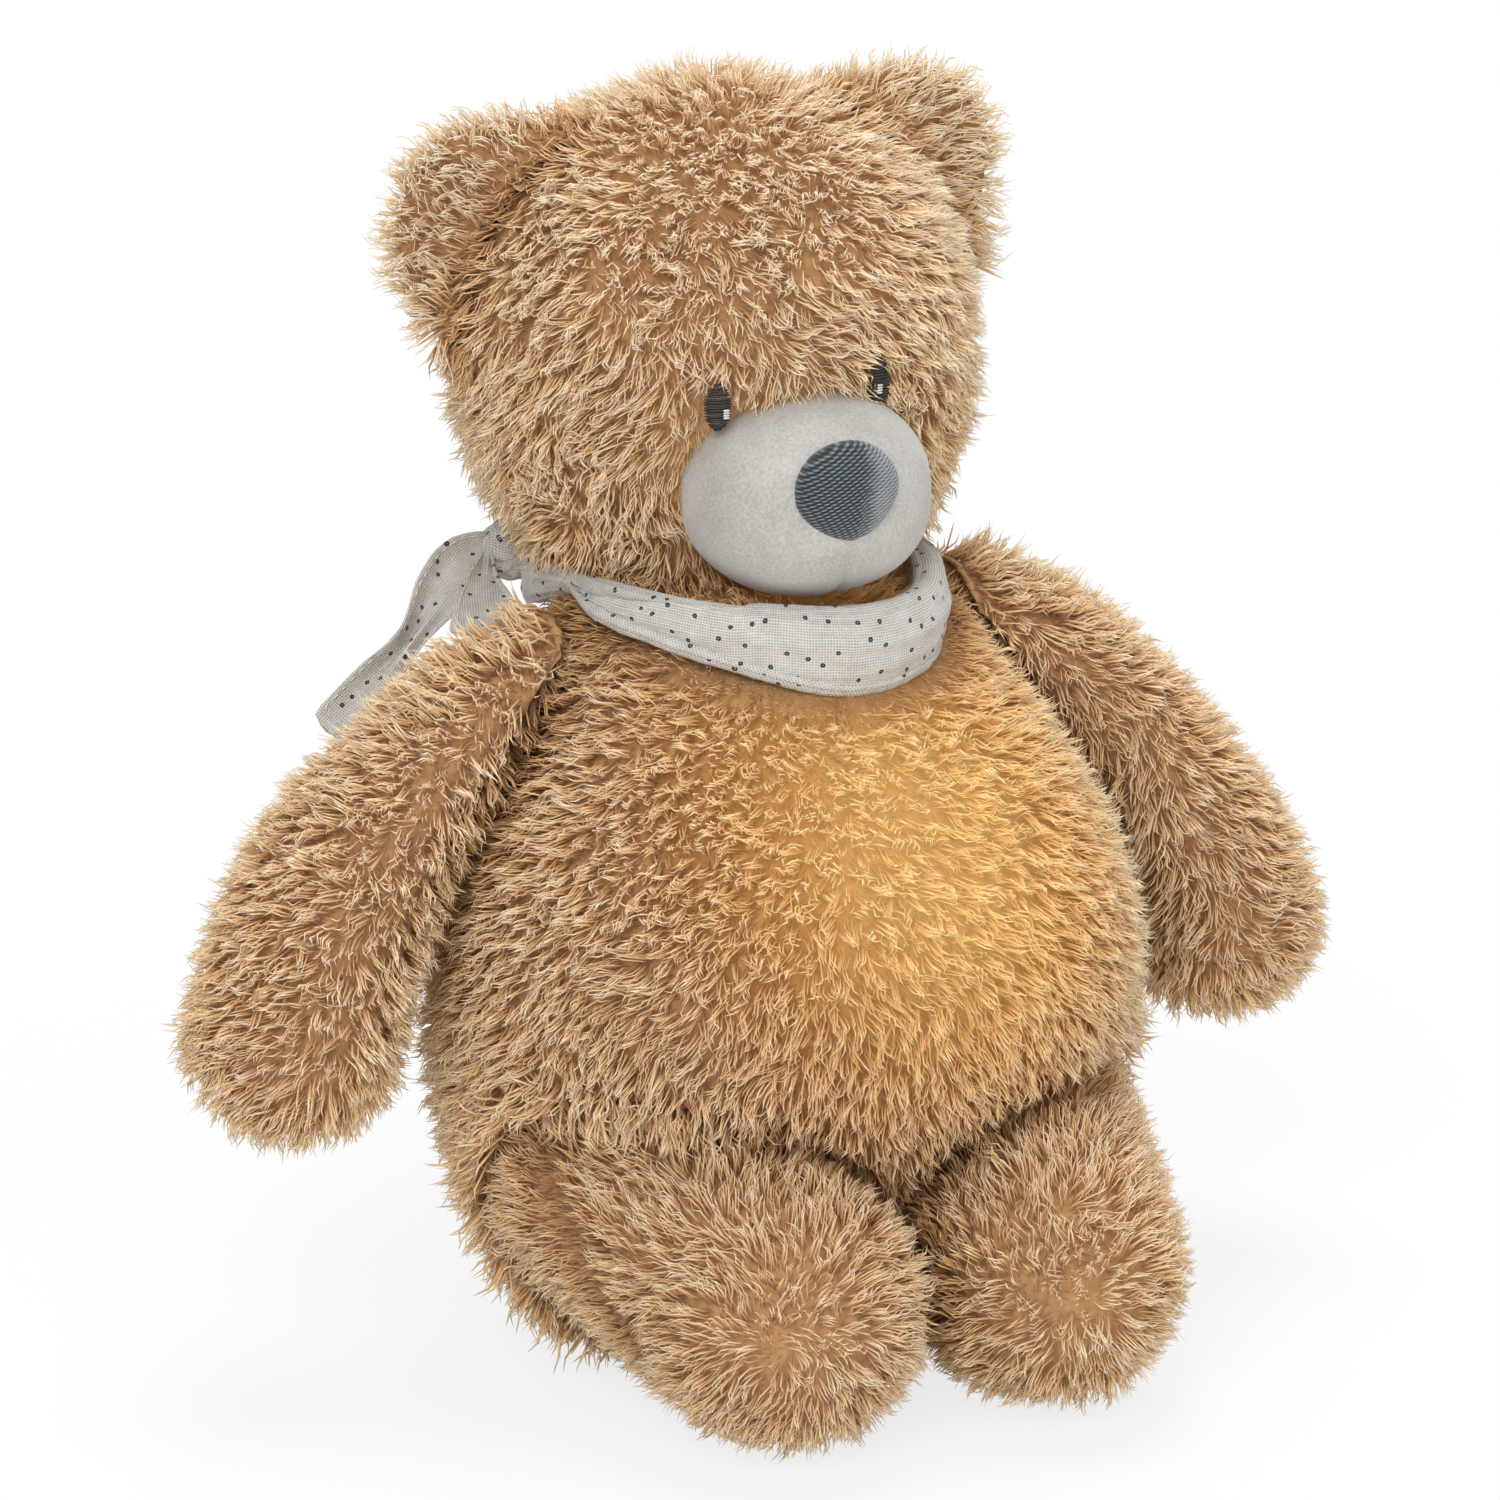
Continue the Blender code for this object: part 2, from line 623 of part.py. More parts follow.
def leg_mesh(name, side, growth=0.0, turn=0.0):
    """The leg's skin, grown by an amount and turned outwards about the hip's upright axis."""
    rows = leg_points()
    hip, foot = rows[0][0], rows[-1][0]
    along = (foot - hip).normalized()
    across = along.cross(Vector((0, 0, 1))).normalized()
    rise = across.cross(along).normalized()
    start, end = rows[0][1] + growth, rows[-1][1] + growth
    rings = [[hip - along * start]]
    for t in reversed(cap_turns()):
        size = start * math.cos(t)
        rings.append(ellipse(hip - along * start * math.sin(t), across * size, rise * size, LIMB_SEGMENTS))
    for point, radius in rows:
        size = radius + growth
        rings.append(ellipse(point, across * size, rise * size, LIMB_SEGMENTS))
    for t in cap_turns():
        size = end * math.cos(t)
        rings.append(ellipse(foot + along * end * math.sin(t), across * size, rise * size, LIMB_SEGMENTS))
    rings.append([foot + along * end])
    pivot = Matrix.Translation((hip.x, hip.y, 0))
    spun = pivot @ Matrix.Rotation(turn, 4, "Z") @ pivot.inverted()
    return finish_mesh(name, loft(rings), mirrored(side) @ spun)


def leg(side, name, look):
    """A short leg that spreads outwards about its hip."""
    mesh = leg_mesh(name, side)
    hinge = Vector((side * HIP_OUT, -HIP_FORWARD, HIP_UP))
    mesh.transform(Matrix.Translation(-hinge))
    obj = place(name, mesh, look)
    obj.location = hinge
    return obj


def leg_cutter(side):
    """The room that a leg fills as it spreads, wrapped in one convex skin."""
    shape = bmesh.new()
    for k in range(LEG_ROOM_STEPS + 1):
        turn = LEG_SPREAD * k / LEG_ROOM_STEPS
        shape.from_mesh(leg_mesh("leg_room", side, LEG_ROOM, turn))
    hull = bmesh.ops.convex_hull(shape, input=shape.verts)
    inside = [item for item in hull["geom_interior"] if isinstance(item, bmesh.types.BMVert)]
    bmesh.ops.delete(shape, geom=inside, context="VERTS")
    keep = {item for item in hull["geom"] if isinstance(item, bmesh.types.BMFace)}
    drop = [found for found in shape.faces if found not in keep]
    bmesh.ops.delete(shape, geom=drop, context="FACES")
    name = f"leg_room_{'left' if side > 0 else 'right'}"
    return place(name, finish_mesh(name, shape), None)


def band_rings(growth=0.0):
    """Sections of the folded cloth round the neck, with lengthwise ridges on its outer face."""
    rows = around(BAND_SHARES, BAND_STEPS)
    points = []
    for side, depth, sag, tall, thick in rows:
        point = Vector((BAND_SIDE * side, BAND_BACK * depth, BAND_UP - BAND_FRONT_SAG * sag))
        points.append((point, BAND_HALF_HEIGHT * tall, BAND_HALF_THICKNESS * thick))
    count = len(points)
    rings = []
    for i, (point, tall, thick) in enumerate(points):
        along = (points[(i + 1) % count][0] - points[i - 1][0]).normalized()
        out = along.cross(Vector((0, 0, 1))).normalized()
        rise = out.cross(along).normalized()
        rings.append(folded_ring(point, rise * (tall + growth), out, thick + growth, BAND_RIDGE))
    return rings


def folded_ring(centre, rise, out, thick, ridge):
    """A flat oval section whose outer face has three rounded ridges."""
    ring = []
    for i in range(BAND_SEGMENTS):
        turn = 2 * math.pi * i / BAND_SEGMENTS
        level, side = math.cos(turn), math.sin(turn)
        wave = ridge * math.cos(3 * math.pi * level) * max(side, 0.0)
        ring.append(centre + rise * level + out * (thick * side + wave))
    return ring


def band_form(name, look, growth=0.0):
    """The closed ring of the folded band."""
    return place(name, finish_mesh(name, loft(band_rings(growth), closed=True)), look)


def band(look):
    """The neckerchief's folded band."""
    cut(band_form("neckerchief_band", look), HEAD_CUTTER, BODY_CUTTER)


def tail_form(name, size, look, growth=0.0):
    """One end of the neckerchief, from the knot out and down behind the right arm."""
    shares, half_width, reach, drop = size
    points = []
    for out, down, back, wide, thick in between(shares, LIMB_STEPS):
        point = Vector((-KNOT_OUT - reach * out, KNOT_BACK * back, KNOT_UP - drop * down))
        points.append((point, half_width * wide + growth, TAIL_HALF_THICKNESS * thick + growth))
    last = len(points) - 1
    rings = []
    for i, (point, wide, thick) in enumerate(points):
        along = (points[min(i + 1, last)][0] - points[max(i - 1, 0)][0]).normalized()
        across = along.cross(Vector((0, 1, 0))).normalized()
        out = across.cross(along).normalized()
        rings.append(folded_ring(point, across * wide, -out, thick, TAIL_RIDGE))
    return place(name, finish_mesh(name, loft(rings)), look)


def knot(name, look, growth=0.0):
    """The neckerchief's knot, at the right of the nape."""
    spot = Matrix.Translation((-KNOT_OUT, KNOT_BACK, KNOT_UP))
    return ball(name, [KNOT_RADIUS] * 3, spot, look, KNOT_SEGMENTS, KNOT_RINGS, growth)


def neckerchief(look):
    """Band, knot and two tails."""
    band(look)
    obj = knot("neckerchief_knot", look)
    cut(obj, BAND_CUTTER, HEAD_CUTTER, BODY_CUTTER)
    for name, size in (("long", LONG_TAIL), ("short", SHORT_TAIL)):
        end = tail_form(f"neckerchief_tail_{name}", size, look)
        cut(end, KNOT_CUTTER, BAND_CUTTER)
    cut(end, tail_form("long_tail_room", LONG_TAIL, None, TOUCH_GAP))


def unit_matrix():
    """From the unit's own frame, with its back at the origin and its front up, to the part's."""
    return Matrix.Translation((0, -UNIT_BACK, POUCH_UP)) @ Matrix.Rotation(QUARTER_TURN, 4, "X")


def pocket_cutters():
    """The pouch's room in the stuffing and the slit that leads to it from the back."""
    spot = unit_matrix() @ Matrix.Translation((0, 0, -CUT_OVERRUN))
    depth = POUCH_FRONT + TOUCH_GAP - UNIT_BACK + CUT_OVERRUN
    room = place("pocket_room", cylinder_mesh("pocket_room", POCKET_RADIUS, depth, spot), None)
    back = BODY_HALF_DEPTH + CUT_OVERRUN
    size = (SLIT_LENGTH, back + UNIT_BACK, 2 * SLIT_HALF_HEIGHT)
    slit = place("slit_room", box_mesh("slit_room", size, (0, (back - UNIT_BACK) / 2, POUCH_UP)), None)
    return room, slit


def closure(looks):
    """The two strips that close the back slit, one above the other."""
    for side, name in ((-1, "hook_strip"), (1, "loop_strip")):
        up = POUCH_UP + side * (STRIP_THICKNESS + TOUCH_GAP) / 2
        size = (STRIP_LENGTH, STRIP_WIDTH, STRIP_THICKNESS)
        centre = (0, STRIP_BACK + STRIP_WIDTH / 2, up)
        place(name, box_mesh(name, size, centre), looks["strip"], smooth=False)


def pouch(look):
    """A cloth cup that holds the unit."""
    depth = UNIT_DEPTH + TOUCH_GAP
    profile = [
        (0, depth + POUCH_WALL),
        (POUCH_OUTER, depth + POUCH_WALL),
        (POUCH_OUTER, 0),
        (POUCH_INNER, 0),
        (POUCH_INNER, depth),
        (0, depth),
    ]
    turned("pouch", profile, unit_matrix(), look)


def bay_box(name, length, width, depth, back):
    """A box centred on the unit's axis, from a level behind the case forwards."""
    mesh = box_mesh(name, (length, width, depth), (0, 0, back + depth / 2))
    mesh.transform(unit_matrix())
    return place(name, mesh, None)


def button_spots():
    """Where the two buttons stand on the case's back."""
    return ((-BUTTON_APART / 2, BUTTON_UP), (BUTTON_APART / 2, BUTTON_UP))


def case(look):
    """The unit's case: battery bay and button holes at its back, room for the board in front."""
    edge = CASE_EDGE
    profile = [
        (0, CASE_DEPTH),
        (CASE_RADIUS - edge, CASE_DEPTH),
        (CASE_RADIUS, CASE_DEPTH - edge),
        (CASE_RADIUS, edge),
        (CASE_RADIUS - edge, 0),
        (0, 0),
    ]
    obj = turned("unit_case", profile, unit_matrix(), look)
    inner = CASE_RADIUS - CASE_WALL
    front_back = BAY_DEPTH + BAY_FLOOR
    spot = unit_matrix() @ Matrix.Translation((0, 0, front_back))
    front = cylinder_mesh("front_room", inner, CASE_DEPTH - front_back + CUT_OVERRUN, spot)
    cutters = [place("front_room", front, None)]
    cutters.append(bay_box("bay_room", BAY_LENGTH, BAY_WIDTH, BAY_DEPTH + CUT_OVERRUN, -CUT_OVERRUN))
    ledge = COVER_THICKNESS + TOUCH_GAP + CUT_OVERRUN
    length, width = BAY_LENGTH + 2 * COVER_LEDGE, BAY_WIDTH + 2 * COVER_LEDGE
    cutters.append(bay_box("cover_room", length, width, ledge, -CUT_OVERRUN))
    deep = COVER_THICKNESS + TOUCH_GAP
    cutters.append(place("tab_room", cover_tab("tab_room", COVER_TAB_RADIUS, -CUT_OVERRUN, deep), None))
    thread = cover_tab("thread_room", SCREW_RADIUS + TOUCH_GAP, -CUT_OVERRUN, SCREW_LENGTH + TOUCH_GAP)
    cutters.append(place("thread_room", thread, None))
    for k, (across, up) in enumerate(button_spots()):
        at = unit_matrix() @ Matrix.Translation((across, up, -CUT_OVERRUN))
        hole = BUTTON_RADIUS + TOUCH_GAP
        deep = front_back + 2 * CUT_OVERRUN
        through = cylinder_mesh(f"button_hole_{k}", hole, deep, at, SMALL_SEGMENTS)
        cutters.append(place(f"button_hole_{k}", through, None))
        at = unit_matrix() @ Matrix.Translation((across, up, FLANGE_BACK - TOUCH_GAP))
        wide = SWITCH_SIDE / math.sqrt(2) + TOUCH_GAP
        deep = front_back - FLANGE_BACK + CUT_OVERRUN
        well = cylinder_mesh(f"switch_room_{k}", wide, deep, at, SMALL_SEGMENTS)
        cutters.append(place(f"switch_room_{k}", well, None))
    cut(obj, *cutters)


def buttons(looks):
    """Two push buttons in the case's back, each over a switch on the board."""
    for (across, up), word in zip(button_spots(), ("light", "sound")):
        hinge = unit_matrix() @ Matrix.Translation((across, up, 0))
        flange = BUTTON_RADIUS + BUTTON_FLANGE - 2 * TOUCH_GAP
        profile = [
            (0, BUTTON_FRONT),
            (BUTTON_RADIUS, BUTTON_FRONT),
            (BUTTON_RADIUS, FLANGE_BACK + BUTTON_FLANGE_THICKNESS),
            (flange, FLANGE_BACK + BUTTON_FLANGE_THICKNESS),
            (flange, FLANGE_BACK),
            (BUTTON_RADIUS, FLANGE_BACK),
            (BUTTON_RADIUS, -BUTTON_PROUD),
            (0, -BUTTON_PROUD),
        ]
        turned(f"{word}_button", profile, hinge, looks["button"], SMALL_SEGMENTS)
        size = (SWITCH_SIDE, SWITCH_SIDE, SWITCH_HEIGHT)
        mesh = box_mesh(f"{word}_switch", size, (across, up, SWITCH_BACK + SWITCH_HEIGHT / 2))
        mesh.transform(unit_matrix())
        place(f"{word}_switch", mesh, looks["dark"], smooth=False)


def battery_rows():
    """Heights of the batteries across the bay, and which way each points."""
    pitch = 2 * BATTERY_RADIUS + TOUCH_GAP
    first = -(BATTERY_COUNT - 1) / 2
    return [((first + k) * pitch, 1 if k % 2 == 0 else -1) for k in range(BATTERY_COUNT)]


def batteries(looks):
    """Three cells side by side, a spring behind each and a contact plate at each end."""
    middle = COVER_THICKNESS + 2 * TOUCH_GAP + BATTERY_RADIUS + TOUCH_GAP
    flat_end = BAY_LENGTH / 2 - CONTACT_THICKNESS - 2 * TOUCH_GAP
    for k, (up, way) in enumerate(battery_rows(), start=1):
        lay = Matrix.Rotation(way * QUARTER_TURN, 4, "Y")
        spot = unit_matrix() @ Matrix.Translation((0, up, middle)) @ lay
        tip = flat_end - TOUCH_GAP / 2
        shoulder = tip - BATTERY_TIP_LENGTH
        profile = [
            (0, tip),
            (BATTERY_TIP_RADIUS, tip),
            (BATTERY_TIP_RADIUS, shoulder),
            (BATTERY_RADIUS, shoulder),
            (BATTERY_RADIUS, shoulder - BATTERY_LENGTH),
            (0, shoulder - BATTERY_LENGTH),
        ]
        turned(f"battery_{k}", profile, spot, looks["battery"], SMALL_SEGMENTS)
        spring(f"battery_spring_{k}", spot, -flat_end + SPRING_WIRE, looks["metal"])
    for side, word in ((1, "left"), (-1, "right")):
        size = (CONTACT_THICKNESS, BAY_WIDTH - 2 * TOUCH_GAP, 2 * BATTERY_RADIUS)
        centre = (side * (BAY_LENGTH / 2 - CONTACT_THICKNESS / 2 - TOUCH_GAP), 0, middle)
        mesh = box_mesh(f"contact_plate_{word}", size, centre)
        mesh.transform(unit_matrix())
        place(f"contact_plate_{word}", mesh, looks["metal"], smooth=False)


def spring(name, matrix, start, look):
    """A short coil behind a battery."""
    curve = bpy.data.curves.new(name, "CURVE")
    curve.dimensions = "3D"
    curve.bevel_depth = SPRING_WIRE
    curve.bevel_resolution = 0
    curve.use_fill_caps = True
    steps = SPRING_TURNS * SPRING_SEGMENTS
    line = curve.splines.new("POLY")
    line.points.add(steps)
    rise = SPRING_LENGTH - 2 * SPRING_WIRE - TOUCH_GAP
    for i in range(steps + 1):
        turn = 2 * math.pi * SPRING_TURNS * i / steps
        radius = SPRING_RADIUS * (1 - SPRING_TAPER_SHARE * i / steps)
        line.points[i].co = (radius * math.cos(turn), radius * math.sin(turn), start + rise * i / steps, 1)
    helper = bpy.data.objects.new(name, curve)
    bpy.context.scene.collection.objects.link(helper)
    helper.matrix_world = matrix
    bpy.context.view_layer.update()
    graph = bpy.context.evaluated_depsgraph_get()
    mesh = bpy.data.meshes.new_from_object(helper.evaluated_get(graph))
    shape = bmesh.new()
    shape.from_mesh(mesh)
    bmesh.ops.remove_doubles(shape, verts=shape.verts, dist=WELD_REACH)
    shape.to_mesh(mesh)
    shape.free()
    world = helper.matrix_world.copy()
    bpy.data.objects.remove(helper)
    place(name, mesh, look).matrix_world = world


def cover(looks):
    """The battery cover, whose tab is held to the case by one screw."""
    length = BAY_LENGTH + 2 * COVER_LEDGE - 2 * TOUCH_GAP
    width = BAY_WIDTH + 2 * COVER_LEDGE - 2 * TOUCH_GAP
    mesh = box_mesh("battery_cover", (length, width, COVER_THICKNESS), (0, 0, COVER_THICKNESS / 2))
    mesh.transform(unit_matrix())
    lid = place("battery_cover", mesh, looks["case"], smooth=False)
    tab = COVER_TAB_RADIUS - TOUCH_GAP
    join(lid, place("cover_tab", cover_tab("cover_tab", tab, 0, COVER_THICKNESS), None))
    hole = cover_tab("screw_hole", SCREW_RADIUS + TOUCH_GAP, -CUT_OVERRUN, SCREW_LENGTH)
    cut(lid, place("screw_hole", hole, None))
    profile = [
        (0, SCREW_LENGTH),
        (SCREW_RADIUS, SCREW_LENGTH),
        (SCREW_RADIUS, -TOUCH_GAP),
        (SCREW_HEAD_RADIUS, -TOUCH_GAP),
        (SCREW_HEAD_RADIUS, -TOUCH_GAP - SCREW_HEAD_HEIGHT),
        (0, -TOUCH_GAP - SCREW_HEAD_HEIGHT),
    ]
    at = unit_matrix() @ Matrix.Translation((0, -TAB_DROP, 0))
    turned("cover_screw", profile, at, looks["metal"], SMALL_SEGMENTS)


def cover_tab(name, radius, back, front):
    """A round piece on the cover's screw axis, between two levels of the unit."""
    at = unit_matrix() @ Matrix.Translation((0, -TAB_DROP, back))
    return cylinder_mesh(name, radius, front - back, at, SMALL_SEGMENTS)


def electronics(looks):
    """Board with lamps in front, and a small speaker in its middle."""
    level = unit_matrix() @ Matrix.Translation((0, 0, BOARD_BACK))
    board = cylinder_mesh("circuit_board", BOARD_RADIUS, BOARD_THICKNESS, level)
    place("circuit_board", board, looks["board"], smooth=False)
    stand = BOARD_FRONT + TOUCH_GAP
    for k in range(LAMP_COUNT):
        turn = 2 * math.pi * k / LAMP_COUNT + math.pi / 2
        at = (LAMP_CIRCLE * math.cos(turn), LAMP_CIRCLE * math.sin(turn), stand)
        straight = LAMP_HEIGHT - LAMP_RADIUS
        dome = [math.pi / 2 * (1 - i / CAP_RINGS) for i in range(CAP_RINGS + 1)]
        profile = [(LAMP_RADIUS * math.cos(t), straight + LAMP_RADIUS * math.sin(t)) for t in dome]
        profile[0] = (0, LAMP_HEIGHT)
        profile += [(LAMP_RADIUS, 0), (0, 0)]
        spot = unit_matrix() @ Matrix.Translation(at)
        turned(f"lamp_{k + 1}", profile, spot, looks["lamp"], SMALL_SEGMENTS)
    speaker(unit_matrix() @ Matrix.Translation((0, 0, stand)), looks)


def speaker(matrix, looks):
    """Magnet, basket and cone of a small speaker, magnet side on the board."""
    magnet_height = SPEAKER_HEIGHT / 2
    magnet = cylinder_mesh("speaker_magnet", MAGNET_RADIUS, magnet_height, matrix)
    place("speaker_magnet", magnet, looks["metal"])
    wall = SPEAKER_RIM
    hole = MAGNET_RADIUS + TOUCH_GAP
    basket = [
        (SPEAKER_RADIUS, SPEAKER_HEIGHT),
        (SPEAKER_RADIUS, SPEAKER_HEIGHT - wall),
        (hole + wall, 0),
        (hole, 0),
        (hole, wall),
        (SPEAKER_RADIUS - wall, SPEAKER_HEIGHT),
    ]
    turned("speaker_basket", basket, matrix, looks["dark"])
    low = magnet_height + TOUCH_GAP
    rim = SPEAKER_RADIUS - wall - 2 * TOUCH_GAP
    cone = [
        (0, low + CONE_THICKNESS),
        (MAGNET_RADIUS / 2, low + CONE_THICKNESS),
        (rim, SPEAKER_HEIGHT + CONE_THICKNESS),
        (rim, SPEAKER_HEIGHT),
        (MAGNET_RADIUS / 2, low),
        (0, low),
    ]
    turned("speaker_cone", cone, matrix, looks["dark"])


def diffuser(look):
    """The milky dome over the lamps, a thin shell open to the case."""
    start = CASE_DEPTH + TOUCH_GAP
    outer, inner = [], []
    for i in range(DOME_STEPS + 1):
        turn = math.pi / 2 * (1 - i / DOME_STEPS)
        outer.append((CASE_RADIUS * math.cos(turn), start + DIFFUSER_HEIGHT * math.sin(turn)))
        hollow = CASE_RADIUS - DIFFUSER_WALL
        top = DIFFUSER_HEIGHT - DIFFUSER_WALL
        inner.append((hollow * math.cos(turn), start + top * math.sin(turn)))
    outer[0] = (0, start + DIFFUSER_HEIGHT)
    inner[0] = (0, start + DIFFUSER_HEIGHT - DIFFUSER_WALL)
    turned("light_diffuser", outer + list(reversed(inner)), unit_matrix(), look)


def light_and_sound_unit(looks):
    """Everything in the pouch."""
    case(looks["case"])
    cover(looks)
    buttons(looks)
    batteries(looks)
    electronics(looks)
    diffuser(looks["diffuser"])


def make_looks():
    """One material for each kind of surface."""
    return {
        "fur": material("fur", (0.55, 0.36, 0.20), 0.95),
        "velour": material("velour", (0.76, 0.73, 0.69), 0.9),
        "nose": material("nose_weave", (0.17, 0.21, 0.24), 0.9),
        "thread": material("eye_thread", (0.02, 0.02, 0.02), 0.6),
        "muslin": material("muslin", (0.78, 0.76, 0.73), 0.9),
        "strip": material("closure_strip", (0.55, 0.42, 0.28), 0.9),
        "lining": material("pouch_lining", (0.60, 0.52, 0.40), 0.9),
        "case": material("case_plastic", (0.80, 0.79, 0.76), 0.5),
        "diffuser": material("diffuser_plastic", (0.90, 0.87, 0.80), 0.4),
        "button": material("button_plastic", (0.35, 0.42, 0.46), 0.5),
        "board": material("board_laminate", (0.05, 0.22, 0.10), 0.6),
        "lamp": material("lamp_lens", (0.95, 0.85, 0.55), 0.2),
        "dark": material("dark_plastic", (0.03, 0.03, 0.03), 0.6),
        "battery": material("battery_wrap", (0.12, 0.13, 0.15), 0.4, 0.3),
        "metal": material("contact_metal", (0.70, 0.70, 0.70), 0.3, 0.9),
    }


clear_scene()
PARTS = collection("plush_bear")
CUTTERS = collection("cutters")
LOOKS = make_looks()
HEAD_CUTTER = head_form("head_room", None, TOUCH_GAP)
BODY_CUTTER = body_form("body_room", None, TOUCH_GAP)
MUZZLE_CUTTER = muzzle_form("muzzle_room", None, TOUCH_GAP)
KNOT_CUTTER = knot("knot_room", None, TOUCH_GAP)
BAND_CUTTER = band_form("band_room", None, TOUCH_GAP)
SEAM_SIZE = (2 * SHOULDER_OUT, BODY_HEIGHT, BODY_HEIGHT)
SEAM_CUTTER = place("seam_room", box_mesh("seam_room", SEAM_SIZE, (0, 0, BODY_HEIGHT / 2)), None)
stuffed_body = body_form("body", LOOKS["fur"])
cut(stuffed_body, HEAD_CUTTER, leg_cutter(1), leg_cutter(-1), *pocket_cutters())
head_form("head", LOOKS["fur"])
face(LOOKS)
for side_sign, side_word in ((1, "left"), (-1, "right")):
    arm(side_sign, f"arm_{side_word}", LOOKS["fur"])
    leg(side_sign, f"leg_{side_word}", LOOKS["fur"])
neckerchief(LOOKS["muslin"])
closure(LOOKS)
pouch(LOOKS["lining"])
light_and_sound_unit(LOOKS)
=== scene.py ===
"""Looks of a sitting plush bear with a glowing belly and a dotted neckerchief, round its CAD frame."""

import json
import math

import bmesh
import bpy
import numpy as np
from mathutils import Matrix, Vector, noise
from mathutils.bvhtree import BVHTree

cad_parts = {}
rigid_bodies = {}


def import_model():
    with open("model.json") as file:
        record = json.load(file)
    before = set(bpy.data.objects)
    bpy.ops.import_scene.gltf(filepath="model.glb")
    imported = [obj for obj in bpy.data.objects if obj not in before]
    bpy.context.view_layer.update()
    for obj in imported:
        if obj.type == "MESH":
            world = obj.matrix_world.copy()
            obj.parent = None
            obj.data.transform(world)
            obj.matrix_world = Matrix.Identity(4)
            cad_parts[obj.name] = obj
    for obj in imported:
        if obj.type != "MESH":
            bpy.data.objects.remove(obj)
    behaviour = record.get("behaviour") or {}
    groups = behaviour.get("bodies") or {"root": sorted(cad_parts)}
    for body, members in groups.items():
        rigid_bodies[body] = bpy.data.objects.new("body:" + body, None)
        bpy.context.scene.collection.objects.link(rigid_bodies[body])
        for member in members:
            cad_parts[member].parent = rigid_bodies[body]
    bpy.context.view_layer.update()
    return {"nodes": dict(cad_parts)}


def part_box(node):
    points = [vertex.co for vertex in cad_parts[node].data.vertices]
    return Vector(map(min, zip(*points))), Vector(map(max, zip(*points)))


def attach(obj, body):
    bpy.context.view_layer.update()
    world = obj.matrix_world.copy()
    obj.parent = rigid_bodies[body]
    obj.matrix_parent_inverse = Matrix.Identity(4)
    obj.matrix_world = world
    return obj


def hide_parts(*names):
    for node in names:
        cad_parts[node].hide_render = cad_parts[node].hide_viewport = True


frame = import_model()
noise.seed_set(1)

# Camera, where the photograph was taken from
VIEW_AZIMUTH = math.radians(-24.0)
VIEW_ELEVATION = math.radians(15.0)
VIEW_DISTANCE = 1.3
VIEW_TARGET = (-0.0085, 0.0028, 0.1465)
LENS_MM = 130.0

# Pile of the fur fabric
PILE_LENGTH = 0.0088
PILE_DEPTH = 0.0046
STRAND_SPACING = 0.00113
CLUMP_SPACING = 0.0024
CLUMP_PULL = 1.0
PILE_LEAN = math.radians(49.0)
PILE_DEPTH_EARS = 0.0036
LEAN_HEAD = math.radians(53.0)
LEAN_EARS = math.radians(56.0)
WISP_JITTER = 0.08
CLUMP_JITTER = 0.31
STRAY_SHARE = 0.16
LEAST_LEVEL = 0.0002
MOST_TRIANGLES = 190000

# Even skins: the size of their mesh, and the dent of the right arm under the neckerchief's ends
HEAD_VOXEL, BODY_VOXEL, LIMB_VOXEL, EAR_VOXEL = 0.003, 0.0035, 0.003, 0.0018
DENT_WAY = (-0.464, 0.433, 0.773)
DENT_DEPTH, DENT_LOW, DENT_HIGH = 0.0048, 0.130, 0.160
ANKLE_FOLD_DEPTH = 0.0035

# Cloth
THREAD_PITCH = 0.00066
DOT_SPACING = 0.0062
DOT_RADIUS = 0.088
TWILL_PITCH = 0.00094
TWILL_SLANT = math.radians(27.0)
CLOTH_THICKNESS = 0.0005

# Neckerchief, round the neck from the front by the bear's left to its right: sideways,
# backwards and sagging shares, half height and half thickness
BAND_HALF_HEIGHT = 0.0084
BAND_HALF_THICKNESS = 0.0040
BAND_SIDE = 0.0428
BAND_BACK = 0.0760
BAND_UP = 0.1865
BAND_FRONT_SAG = 0.0072
BAND_ROWS = (
    (0.000, -0.454, 1.000, 1.000, 1.000),
    (0.530, -0.340, 0.720, 0.900, 1.000),
    (0.825, -0.010, 0.120, 0.780, 0.900),
    (0.920, 0.340, 0.000, 0.560, 0.760),
    (0.860, 0.720, 0.000, 0.440, 0.700),
    (0.000, 1.000, 0.000, 0.440, 0.700),
    (-0.985, 0.735, 0.560, 0.860, 0.700),
    (-1.030, 0.300, -0.020, 0.440, 0.640),
    (-0.960, -0.010, 0.080, 0.520, 0.800),
    (-0.560, -0.320, 0.560, 0.760, 0.950),
)
KNOT = Vector((-0.0440, 0.0670, 0.1860))
# Each end of the cloth from the knot: reach and drop in metres, depth as a share of the
# knot's, half width in metres, how far it is gathered and how far its outer edge rolls
LONG_END_ROWS = (
    (0.0020, -0.0010, 0.985, 0.0056, 0.70, 0.2),
    (0.0135, 0.0012, 0.930, 0.0076, 0.90, 0.6),
    (0.0224, 0.0070, 0.850, 0.0076, 0.86, 0.7),
    (0.0322, 0.0168, 0.780, 0.0072, 0.44, 0.5),
    (0.0420, 0.0262, 0.760, 0.0074, 0.74, 0.4),
    (0.0532, 0.0382, 0.755, 0.0078, 1.00, 0.2),
)
SHORT_END_ROWS = (
    (0.0078, 0.0010, 0.950, 0.0022, 0.60, 0.1),
    (0.0122, 0.0034, 0.820, 0.0044, 0.80, 0.2),
    (0.0166, 0.0062, 0.650, 0.0072, 0.94, 0.3),
    (0.0202, 0.0113, 0.470, 0.0096, 1.00, 0.2),
)
KNOT_RADIUS = 0.0068
KNOT_HALF_LENGTH = 0.0098
